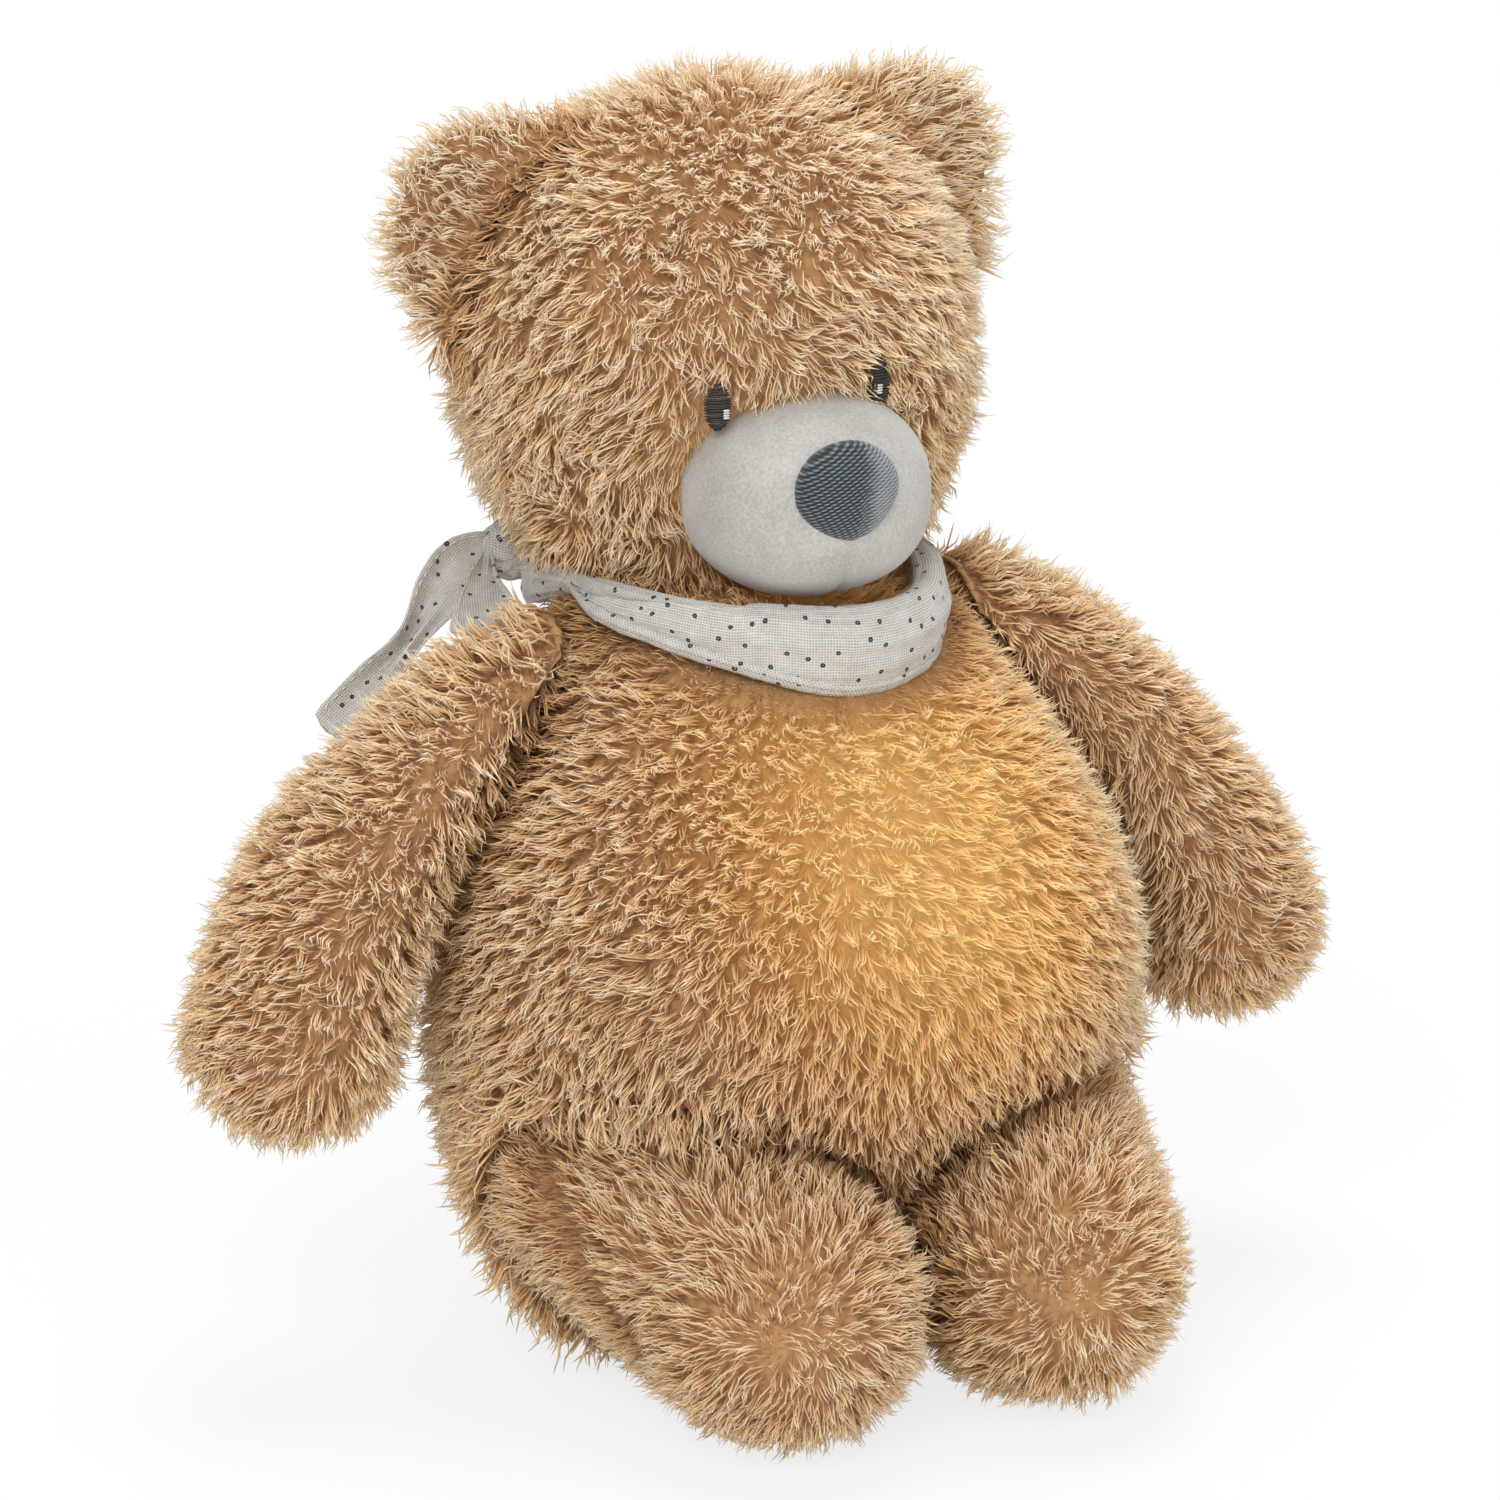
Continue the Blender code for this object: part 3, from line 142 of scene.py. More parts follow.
# Width and length of each sheet laid flat
FLAT_LONG_END = (0.0145, 0.076)
FLAT_SHORT_END = (0.0165, 0.0285)

# Face, in the head's own frame
HEAD_MATRIX = (
    Matrix.Translation((0, 0.0445, 0.2405))
    @ Matrix.Rotation(math.radians(-2.0), 4, "Z")
    @ Matrix.Rotation(math.radians(3.5), 4, "X")
    @ Matrix.Rotation(math.radians(-4.0), 4, "Y")
)
MUZZLE_CENTRE = (0.0, -0.0560, -0.0250)
MUZZLE_RADII = (0.0293, 0.0290, 0.0238)
NOSE_CENTRE = (0.0, -0.0820, -0.0184)
NOSE_RADII = (0.0122, 0.0070, 0.0118)
EYE_RADII = (0.0032, 0.0028, 0.0055)
THREAD_RADIUS = 0.00034
EYE_SHIFT = 0.0020
EYE_SINK = {"left": 0.0020, "right": 0.0006}
EYE_ROWS = 17

# Glow of the lamps through the belly
GLOW_CENTRE = Vector((0.007, -0.067, 0.141))
GLOW_CORE = 0.012
GLOW_REACH = 0.076
GLOW_STRETCH = (1.0, 0.6, 0.92)


# ---- Node trees written as expressions ----


class Wire:
    """A socket whose arithmetic adds Math nodes to its tree."""

    def __init__(self, maker, socket):
        self.maker, self.socket = maker, socket

    def math(self, operation, *values):
        return self.maker.add("ShaderNodeMath", {"operation": operation}, values)

    def __add__(self, other):
        return self.math("ADD", self, other)

    def __sub__(self, other):
        return self.math("SUBTRACT", self, other)

    def __rsub__(self, other):
        return self.math("SUBTRACT", other, self)

    def __mul__(self, other):
        return self.math("MULTIPLY", self, other)

    def __truediv__(self, other):
        return self.math("DIVIDE", self, other)

    def __rtruediv__(self, other):
        return self.math("DIVIDE", other, self)

    def __pow__(self, other):
        return self.math("POWER", self, other)

    def output(self, key):
        """Another output of the node that this wire leaves."""
        return Wire(self.maker, self.socket.node.outputs[key])

    __radd__ = __add__
    __rmul__ = __mul__


class Maker:
    """Adds nodes to one tree and gives their outputs as wires."""

    def __init__(self, tree):
        self.tree = tree

    def add(self, kind, settings=None, values=(), output=0):
        node = self.tree.nodes.new(kind)
        for name, value in (settings or {}).items():
            if name == "stops":
                set_stops(node.color_ramp, value)
            else:
                setattr(node, name, value)
        pairs = values.items() if isinstance(values, dict) else enumerate(values)
        for key, value in pairs:
            if isinstance(value, Wire):
                self.tree.links.new(value.socket, node.inputs[key])
            elif value is not None:
                node.inputs[key].default_value = value
        return Wire(self, node.outputs[output])

    def math(self, operation, *values):
        return self.add("ShaderNodeMath", {"operation": operation}, values)

    def vector(self, operation, *values):
        return self.add("ShaderNodeVectorMath", {"operation": operation}, values)

    def stretch(self, vector, amount):
        return self.add("ShaderNodeVectorMath", {"operation": "SCALE"}, {"Vector": vector, "Scale": amount})

    def mix(self, factor, first, second, blend="MIX"):
        settings = {"data_type": "RGBA", "blend_type": blend, "clamp_factor": True}
        colours = [(*side, 1.0) if isinstance(side, tuple) else side for side in (first, second)]
        return self.add("ShaderNodeMix", settings, {0: factor, 6: colours[0], 7: colours[1]}, 2)

    def noise(self, place, scale, detail):
        return self.add("ShaderNodeTexNoise", None, {"Vector": place, "Scale": scale, "Detail": detail})

    def place(self):
        """The piece's own coordinates."""
        return self.add("ShaderNodeTexCoord", output=3)

    def painted(self, name):
        """A number painted on the mesh's vertices."""
        return self.add("ShaderNodeAttribute", {"attribute_name": name}, output=2)

    def bump(self, strength, distance, height):
        values = {"Strength": strength, "Distance": distance, "Height": height}
        return self.add("ShaderNodeBump", None, values)

    def ramp(self, value, stops):
        return self.add("ShaderNodeValToRGB", {"stops": stops}, [value])


def set_stops(ramp, stops):
    """Colour stops of a ramp, as (place, colour) pairs."""
    while len(ramp.elements) < len(stops):
        ramp.elements.new(1.0)
    for element, (place, colour) in zip(ramp.elements, stops):
        element.position = place
        element.color = (*colour, 1.0)


def linear(red, green, blue):
    """A colour measured in 0 to 255 as the linear values that a shader takes."""
    found = []
    for level in (red, green, blue):
        share = level / 255
        found.append(share / 12.92 if share < 0.04045 else ((share + 0.055) / 1.055) ** 2.4)
    return tuple(found)


def new_look(name):
    """A material, its maker and its surface shader."""
    material = bpy.data.materials.new(name)
    material.use_nodes = True
    surface = material.node_tree.nodes["Principled BSDF"]
    return material, Maker(material.node_tree), surface


def plug(maker, surface, **values):
    """Feeds the surface's named sockets with wires or plain values."""
    for name, value in values.items():
        socket = surface.inputs[name.replace("_", " ")]
        if isinstance(value, Wire):
            maker.tree.links.new(value.socket, socket)
        else:
            socket.default_value = (*value, 1.0) if isinstance(value, tuple) else value


# ---- Materials ----

# Pile tone from root to tip; the stops below the roots' usual level are reached only where painted shade lowers
# it
FUR_STOPS = [
    (0.00, linear(52, 24, 11)),
    (0.12, linear(114, 70, 38)),
    (0.26, linear(184, 134, 84)),
    (0.46, linear(228, 184, 131)),
    (0.64, linear(247, 213, 166)),
    (0.82, linear(254, 231, 195)),
    (1.00, linear(255, 243, 220)),
]
GLOW_STOPS = [
    (0.00, (0.0, 0.0, 0.0)),
    (0.35, (0.054, 0.029, 0.007)),
    (0.70, (0.152, 0.096, 0.026)),
    (1.00, (0.272, 0.192, 0.066)),
]
GLOW_TINTS = [
    (0.00, (1.0, 1.0, 1.0)),
    (0.15, (1.0, 0.94, 0.84)),
    (0.50, (0.94, 0.86, 0.68)),
    (1.00, (0.83, 0.75, 0.53)),
]


def fur_look():
    """Pile whose map holds the glow across, and root to tip upwards with painted shade where creases lie."""
    material, maker, surface = new_look("fur_pile")
    place = maker.add("ShaderNodeUVMap", {"uv_map": "OFBake"})
    across = maker.add("ShaderNodeSeparateXYZ", None, [place])
    up = across.output(1)
    tint = maker.ramp(across, GLOW_TINTS)
    colour = maker.mix(1.0, maker.ramp(up, FUR_STOPS), tint, "MULTIPLY")
    glow = maker.ramp(across, GLOW_STOPS)
    plug(maker, surface, Base_Color=colour, Emission_Color=glow, Emission_Strength=1.0)
    plug(maker, surface, Roughness=0.85, Specular_IOR_Level=0.2, Sheen_Weight=0.25, Sheen_Roughness=0.5)
    return material


def backing_look():
    """The knitted backing and the roots that show between the wisps."""
    material, maker, surface = new_look("fur_backing")
    place = maker.place()
    tufts = maker.add("ShaderNodeTexVoronoi", None, {"Vector": place, "Scale": 420.0})
    drift = maker.noise(place, 60.0, 3.0)
    colour = maker.mix(tufts * 1.2, linear(206, 163, 115), linear(172, 128, 84))
    colour = maker.mix(drift * 0.5, colour, linear(210, 167, 120))
    # painted shade: the backing darkens where the skin's shade is low, in creases and under neighbouring parts
    shade = maker.painted("shade")
    colour = maker.mix(
        1.0, colour, maker.ramp(shade, [(0.1, (0.16, 0.11, 0.08)), (0.8, (1.0, 1.0, 1.0))]), "MULTIPLY"
    )
    share = maker.painted("glow")
    glow = maker.ramp(share, GLOW_STOPS)
    colour = maker.mix(1.0, colour, maker.ramp(share, GLOW_TINTS), "MULTIPLY")
    bump = maker.bump(0.6, 0.001, tufts)
    plug(maker, surface, Base_Color=colour, Roughness=0.95, Normal=bump, Specular_IOR_Level=0.1)
    plug(maker, surface, Emission_Color=glow, Emission_Strength=1.0)
    return material


def velour_look():
    """Short pale nap of the muzzle."""
    material, maker, surface = new_look("muzzle_velour")
    place = maker.place()
    nap = maker.noise(place, 1300.0, 4.0)
    cloud = maker.noise(place, 70.0, 2.0)
    mixed = nap * 0.6 + cloud * 0.4
    colour = maker.ramp(mixed, [(0.35, linear(168, 165, 159)), (0.65, linear(200, 197, 192))])
    bump = maker.bump(0.5, 0.0006, mixed)
    plug(maker, surface, Base_Color=colour, Roughness=0.9, Normal=bump, Sheen_Weight=0.3)
    return material


def muslin_look():
    """Double gauze with a fine open weave and small scattered rings and dots."""
    material, maker, surface = new_look("muslin")
    cloth = maker.add("ShaderNodeUVMap", {"uv_map": "weave"})
    parts = maker.add("ShaderNodeSeparateXYZ", None, [cloth])
    other = parts.output(1)
    turns = 2 * math.pi / THREAD_PITCH
    warp = maker.math("SINE", parts * turns) * 0.5 + 0.5
    weft = maker.math("SINE", other * turns) * 0.5 + 0.5
    slub = maker.noise(cloth, 900.0, 2.0)
    crepe = maker.noise(cloth, 190.0, 2.0)
    threads = maker.math("MAXIMUM", warp * 0.8, weft)
    shade = threads * 0.45 + slub * 0.25 + crepe * 0.3
    stops = [(0.26, linear(150, 145, 136)), (0.58, linear(207, 204, 198)), (0.85, linear(228, 226, 222))]
    colour = maker.ramp(shade, stops)
    settings = {"voronoi_dimensions": "2D"}
    values = {"Vector": cloth, "Scale": 1 / DOT_SPACING, "Randomness": 0.86}
    cell = maker.add("ShaderNodeTexVoronoi", settings, values)
    wobble = cell + (slub - 0.5) * 0.05
    dot = maker.add("ShaderNodeMapRange", None, [wobble, DOT_RADIUS, DOT_RADIUS + 0.014, 1.0, 0.0])
    eye = maker.add("ShaderNodeMapRange", None, [wobble, 0.012, 0.034, 0.62, 0.0])
    colour = maker.mix(dot * (1 - eye), colour, linear(52, 54, 60))
    height = threads * 0.5 + crepe * 0.8
    bump = maker.bump(0.55, 0.0004, height)
    plug(maker, surface, Base_Color=colour, Roughness=0.9, Normal=bump, Specular_IOR_Level=0.2)
    return material


def twill_look():
    """Slanting ribs of the nose's woven patch, with a painted sheen that makes it paler towards the bear's
    left.
    """
    material, maker, surface = new_look("nose_twill")
    cloth = maker.add("ShaderNodeUVMap", {"uv_map": "weave"})
    parts = maker.add("ShaderNodeSeparateXYZ", None, [cloth])
    other = parts.output(1)
    drift = maker.noise(cloth, 260.0, 2.0)
    slant = other * math.cos(TWILL_SLANT) - parts * math.sin(TWILL_SLANT) + drift * 0.0005
    cross = other * math.sin(TWILL_SLANT + 1.0) + parts * math.cos(TWILL_SLANT + 1.0)
    rib = maker.math("SINE", slant * (2 * math.pi / TWILL_PITCH)) * 0.5 + 0.5
    stitch = maker.math("SINE", cross * (2 * math.pi / (0.8 * TWILL_PITCH))) * 0.5 + 0.5
    weave = rib * 0.62 + stitch * 0.38
    fuzz = maker.noise(cloth, 1500.0, 2.0)
    mottled = weave * 0.75 + fuzz * 0.25
    dark = maker.ramp(
        mottled, [(0.24, linear(8, 12, 14)), (0.52, linear(44, 52, 57)), (0.82, linear(126, 137, 142))]
    )
    pale = maker.ramp(mottled, [(0.20, linear(84, 94, 98)), (0.80, linear(164, 169, 171))])
    # painted sheen: the colour turns from the dark ramp to the pale one across the patch, towards the bear's
    # left
    edge = parts + (drift - 0.5) * 0.004 - other * 0.12
    painted_sheen = maker.add(
        "ShaderNodeMapRange", {"interpolation_type": "SMOOTHSTEP"}, [edge, 0.0005, 0.0075, 0.0, 1.0]
    )
    colour = maker.mix(painted_sheen, dark, pale)
    bump = maker.bump(0.7, 0.0005, mottled)
    plug(maker, surface, Base_Color=colour, Roughness=0.8, Normal=bump, Sheen_Weight=0.4, Sheen_Roughness=0.4)
    return material


def plain_look(name, colour, roughness, scale=300.0, metallic=0.0, depth=0.0002):
    """Moulded or plated surface with a fine grain."""
    material, maker, surface = new_look(name)
    place = maker.place()
    grain = maker.noise(place, scale, 3.0)
    dark = tuple(0.8 * level for level in colour)
    shade = maker.ramp(grain, [(0.35, dark), (0.65, colour)])
    bump = maker.bump(0.3, depth, grain)
    rough = grain * 0.15 + (roughness - 0.075)
    plug(maker, surface, Base_Color=shade, Roughness=rough, Normal=bump, Metallic=metallic)
    return material


# ---- Meshes ----


def new_object(name, data):
    """Puts a mesh, a lamp or the camera into the scene."""
    obj = bpy.data.objects.new(name, data)
    bpy.context.scene.collection.objects.link(obj)
    return obj


def mesh_from(name, shape):
    """A bmesh as a mesh, and the bmesh freed."""
    mesh = bpy.data.meshes.new(name)
    shape.to_mesh(mesh)
    shape.free()
    return mesh


def move_to(mesh, places):
    """Puts the mesh's vertices at these places."""
    mesh.vertices.foreach_set("co", places.astype(np.float32).ravel())
    mesh.update()


def baked(obj):
    """The object's mesh with its modifiers applied, and the object gone."""
    bpy.context.view_layer.update()
    graph = bpy.context.evaluated_depsgraph_get()
    mesh = bpy.data.meshes.new_from_object(obj.evaluated_get(graph))
    bpy.data.objects.remove(obj)
    return mesh


def welded_copy(node):
    """A CAD node's surface as a bmesh with its doubles merged."""
    shape = bmesh.new()
    shape.from_mesh(frame["nodes"][node].data)
    bmesh.ops.remove_doubles(shape, verts=shape.verts, dist=0.000002)
    return shape


def surface_tree(*nodes):
    """A search tree over the surfaces of several CAD nodes."""
    points, faces = [], []
    for node in nodes:
        mesh = frame["nodes"][node].data
        start = len(points)
        points += [vertex.co.copy() for vertex in mesh.vertices]
        faces += [[start + i for i in polygon.vertices] for polygon in mesh.polygons]
    return BVHTree.FromPolygons(points, faces)


def mesh_arrays(mesh):
    """Vertex places and normals as arrays."""
    count = len(mesh.vertices)
    places = np.empty(count * 3, np.float32)
    mesh.vertices.foreach_get("co", places)
    normals = np.empty(count * 3, np.float32)
    mesh.vertex_normals.foreach_get("vector", normals)
    return places.reshape(-1, 3).astype(float), normals.reshape(-1, 3).astype(float)


def neighbour_mean(mesh, values, rounds):
    """Values averaged with those of neighbouring vertices, several times over."""
    edges = np.empty(len(mesh.edges) * 2, np.int64)
    mesh.edges.foreach_get("vertices", edges)
    a, b = edges[0::2], edges[1::2]
    links = np.bincount(np.concatenate([a, b]), minlength=len(values)).astype(float)
    shape = (-1,) + (1,) * (values.ndim - 1)
    for _ in range(rounds):
        total = np.zeros_like(values)
        np.add.at(total, a, values[b])
        np.add.at(total, b, values[a])
        values = 0.5 * values + 0.5 * total / np.maximum(links, 1).reshape(shape)
    return values


def even_skin(name, node, voxel, fillers=()):
    """The node's outer surface as an even closed mesh."""
    shape = welded_copy(node)
    for filler in fillers:
        shape.from_mesh(filler)
    mesh = mesh_from(name, shape)
    obj = new_object(name, mesh)
    remesh = obj.modifiers.new("even", "REMESH")
    remesh.mode = "VOXEL"
    remesh.voxel_size = voxel
    return baked(obj)


def press_in(mesh, way, depth, low, high):
    """Presses in the side that faces a way, more from the low to the high level, but not by the neck."""
    places, normals = mesh_arrays(mesh)
    share = smooth_share(normals @ np.array(way), -0.3, 0.9) * smooth_share(places[:, 2], low, high)
    share *= smooth_share(np.abs(places[:, 0]), 0.042, 0.056)
    share = neighbour_mean(mesh, share, 8)
    places = neighbour_mean(mesh, places - normals * (depth * share)[:, None], 6)
    move_to(mesh, places)


def sink(mesh, depth, keep=None):
    """Moves the surface inwards, less where it is thin or by a kept surface, and gives its old places."""
    outer, normals = mesh_arrays(mesh)
    tree = BVHTree.FromPolygons([Vector(p) for p in outer], [list(f.vertices) for f in mesh.polygons])
    depths = np.full(len(outer), depth)
    for i in range(len(outer)):
        inwards = Vector(-normals[i])
        start = Vector(outer[i]) + inwards * 0.0004
        _, _, _, far = tree.ray_cast(start, inwards)
        if far is not None:
            depths[i] = min(depth, 0.36 * (far + 0.0004))
    if keep is not None:
        depths *= smooth_share(distances(keep, outer, 0.014), 0.001, 0.010)
    depths = neighbour_mean(mesh, depths, 4)
    places = neighbour_mean(mesh, outer - normals * depths[:, None], 2)
    move_to(mesh, places)
    return outer


def distances(tree, places, reach):
    """Distance of each place to a surface, at most the reach."""
    found = np.full(len(places), reach)
    for i, place in enumerate(places):
        far = tree.find_nearest(Vector(place), reach)[3]
        if far is not None:
            found[i] = far
    return found


def smooth_share(values, low, high):
    """0 below low, 1 above high, and a smooth rise between."""
    share = np.clip((values - low) / (high - low), 0, 1)
    return share * share * (3 - 2 * share)


def unit(vectors):
    """Rows scaled to length one."""
    return vectors / np.maximum(np.linalg.norm(vectors, axis=1, keepdims=True), 1e-9)


def swirls(places, scale, seed):
    """A smooth random vector at each place."""
    shift = Vector((seed * 7.3, seed * 3.1, seed * 5.7))
    return np.array([noise.noise_vector(Vector(p) * scale + shift)[:] for p in places])


def put_attribute(mesh, name, values):
    """Stores one number or vector at each vertex."""
    vector = values.ndim == 2
    kind = "FLOAT_VECTOR" if vector else "FLOAT"
    layer = mesh.attributes.new(name, kind, "POINT")
    layer.data.foreach_set("vector" if vector else "value", values.astype(np.float32).ravel())


# ---- Fur strands ----


def strand_mesh(name, bends, radius):
    """One wisp of unit length along Z, pointed at both ends, whose bends are offsets at three heights."""
    heights = (0.34, 0.77, 1.0)
    points, along, side = [(0.0, 0.0, 0.0)], [0.0], [0.5]
    for height, (x, y), wide in zip(heights[:2], bends[:2], (1.0, 0.86)):
        for k in range(3):
            turn = 2 * math.pi * k / 3
            points.append((x + radius * wide * math.cos(turn), y + radius * wide * math.sin(turn), height))
            along.append(height)
            side.append(k / 2)
    points.append((*bends[2], heights[2]))
    along.append(1.0)
    side.append(0.5)
    faces = [(0, 1 + (k + 1) % 3, 1 + k) for k in range(3)]
    for k in range(3):
        a, b = 1 + k, 1 + (k + 1) % 3
        faces += [(a, b, b + 3), (a, b + 3, a + 3), (a + 3, b + 3, 7)]
    mesh = bpy.data.meshes.new(name)
    mesh.from_pydata(points, [], faces)
    put_attribute(mesh, "along", np.array(along))
    put_attribute(mesh, "side", np.array(side))
    return mesh


def strand_set():
    """Several wisps to pick from."""
    group = bpy.data.collections.new("wisps")
    shapes = [
        ([(0.15, 0.02), (0.09, 0.13), (0.24, 0.16)], 0.029),
        ([(0.06, -0.15), (0.22, -0.10), (0.14, 0.04)], 0.027),
        ([(0.04, 0.15), (0.21, 0.14), (0.14, -0.03)], 0.030),
        ([(0.17, -0.02), (0.17, -0.18), (0.32, -0.26)], 0.028),
        ([(-0.04, -0.13), (0.15, -0.14), (0.22, 0.02)], 0.029),
        ([(0.14, 0.09), (0.16, 0.26), (0.32, 0.34)], 0.028),
        ([(0.10, 0.00), (0.27, 0.05), (0.26, -0.10)], 0.028),
    ]
    for k, shape in enumerate(shapes):
        group.objects.link(bpy.data.objects.new(f"wisp_{k}", strand_mesh(f"wisp_{k}", *shape)))
    return group


def new_tree(name, inputs, output):
    """A node group that makes a geometry from typed inputs: its maker, and its inputs as wires."""
    tree = bpy.data.node_groups.new(name, "GeometryNodeTree")
    for title, kind in inputs:
        tree.interface.new_socket(title, in_out="INPUT", socket_type=f"NodeSocket{kind}")
    tree.interface.new_socket(output, in_out="OUTPUT", socket_type="NodeSocketGeometry")
    maker = Maker(tree)
    start = tree.nodes.new("NodeGroupInput")
    return maker, {socket.name: Wire(maker, socket) for socket in start.outputs if socket.name}


def end_tree(maker, shape, material):
    """Smooths the geometry, gives it its material and leads it to the group's output."""
    shape = maker.add("GeometryNodeSetShadeSmooth", None, {"Geometry": shape})
    shape = maker.add("GeometryNodeSetMaterial", None, {"Geometry": shape, "Material": material})
    end = maker.tree.nodes.new("NodeGroupOutput")
    maker.tree.links.new(shape.socket, end.inputs[0])
    return maker.tree


def fur_tree():
    """Geometry nodes that plant wisps over a skin, gathered into clumps."""
    floats = ("Spacing", "Clump spacing", "Clump pull", "Lean sine", "Lean cosine", "Length")
    inputs = [("Skin", "Geometry"), *((name, "Float") for name in floats)]
    inputs += [("Seed", "Int"), ("Wisps", "Collection"), ("Material", "Material")]
    maker, given = new_tree("plant_fur", inputs, "Fur")

    def named(name, kind="FLOAT"):
        return maker.add("GeometryNodeInputNamedAttribute", {"data_type": kind}, {"Name": name})

    def chance(low, high, seed, by=None, kind="FLOAT"):
        """A random value for each wisp, or one for all wisps of a clump."""
        first, output = {"FLOAT_VECTOR": (0, 0), "FLOAT": (2, 1), "INT": (4, 2)}[kind]
        values = {first: low, first + 1: high, "ID": by, "Seed": seed}
        return maker.add("FunctionNodeRandomValue", {"data_type": kind}, values, output)

    def scattered(spacing, nearness, crowd, thick, seed):
        """Points spread over the skin, thinned to keep about this spacing."""
        values = {"Mesh": given["Skin"], "Distance Min": spacing * nearness, "Seed": seed}
        values.update({"Density Max": crowd / (spacing * spacing), "Density Factor": thick})
        return maker.add("GeometryNodeDistributePointsOnFaces", {"distribute_method": "POISSON"}, values)

    roots = scattered(given["Spacing"], 0.62, 1.6, named("thick"), given["Seed"])
    normal = roots.output("Normal")
    centres = scattered(given["Clump spacing"], 0.6, 1.2, 1.0, given["Seed"] + 7)
    place = maker.add("GeometryNodeInputPosition")
    nearest = maker.add("GeometryNodeSampleNearest", None, {"Geometry": centres, "Sample Position": place})
    sample = {"data_type": "FLOAT_VECTOR"}
    centre = maker.add(
        "GeometryNodeSampleIndex", sample, {"Geometry": centres, "Value": place, "Index": nearest}
    )
    lock = chance(0.0, 1.0, 3, nearest)
    length = given["Length"] * named("pile") * chance(0.82, 1.10, 11) * (lock * 0.36 + 0.82)
    comb = named("comb", "FLOAT_VECTOR")
    jitter = chance((-WISP_JITTER,) * 3, (WISP_JITTER,) * 3, 23, None, "FLOAT_VECTOR")
    clump_jitter = chance((-CLUMP_JITTER,) * 3, (CLUMP_JITTER,) * 3, 29, nearest, "FLOAT_VECTOR")
    lean = maker.vector(
        "ADD", maker.stretch(comb, given["Lean sine"]), maker.stretch(normal, given["Lean cosine"])
    )
    pull = maker.vector("SUBTRACT", centre, place)
    pull = maker.stretch(pull, given["Clump pull"] / given["Length"])
    way = maker.vector("ADD", maker.vector("ADD", lean, pull), maker.vector("ADD", jitter, clump_jitter))
    way = maker.vector("NORMALIZE", way)
    axes = {"primary_axis": "Z", "secondary_axis": "X"}
    turn = maker.add("FunctionNodeAxesToRotation", axes, [way, normal])
    tone = lock * 0.55 + chance(0.0, 0.45, 31)
    store = {"data_type": "FLOAT", "domain": "POINT"}
    roots = maker.add(
        "GeometryNodeStoreNamedAttribute", store, {"Geometry": roots, "Name": "tone", "Value": tone}
    )
    wisps = maker.add(
        "GeometryNodeCollectionInfo", None, {"Collection": given["Wisps"], "Separate Children": True}
    )
    shared = chance(0, 6, 41, nearest, "INT")
    own = chance(0, 6, 43, None, "INT")
    stray = maker.math("LESS_THAN", chance(0.0, 1.0, 47), STRAY_SHARE)
    pick = shared + (own - shared) * stray
    size = maker.add("ShaderNodeCombineXYZ", None, [length, length, length])
    planted = {"Points": roots, "Instance": wisps, "Pick Instance": True, "Instance Index": pick}
    planted.update({"Rotation": turn, "Scale": size})
    fur = maker.add("GeometryNodeInstanceOnPoints", None, planted)
    fur = maker.add("GeometryNodeRealizeInstances", None, {"Geometry": fur})
    across = named("glow") * 0.90 + named("side") * 0.03 + 0.03
    # painted light and shade: the side term makes each wisp lighter on one side than the other, so it reads as
    # finer fibres
    growth = named("along") * (named("tone") * 0.28 + named("side") * 0.10 + 0.50) * (1 - named("even") * 0.32)
    base = named("tone") * 0.11 + named("even") * 0.17 + 0.14
    up = maker.math("MINIMUM", named("shade") * (growth + base), 0.98)
    spot = maker.add("ShaderNodeCombineXYZ", None, [across, up])
    store = {"data_type": "FLOAT2", "domain": "CORNER"}
    fur = maker.add(
        "GeometryNodeStoreNamedAttribute", store, {"Geometry": fur, "Name": "OFBake", "Value": spot}
    )
    return end_tree(maker, fur, given["Material"])


def set_input(modifier, name, value):
    """Sets a modifier's input by the name of its socket."""
    for item in modifier.node_group.interface.items_tree:
        if item.name == name and item.in_out == "INPUT":
            modifier[item.identifier] = value


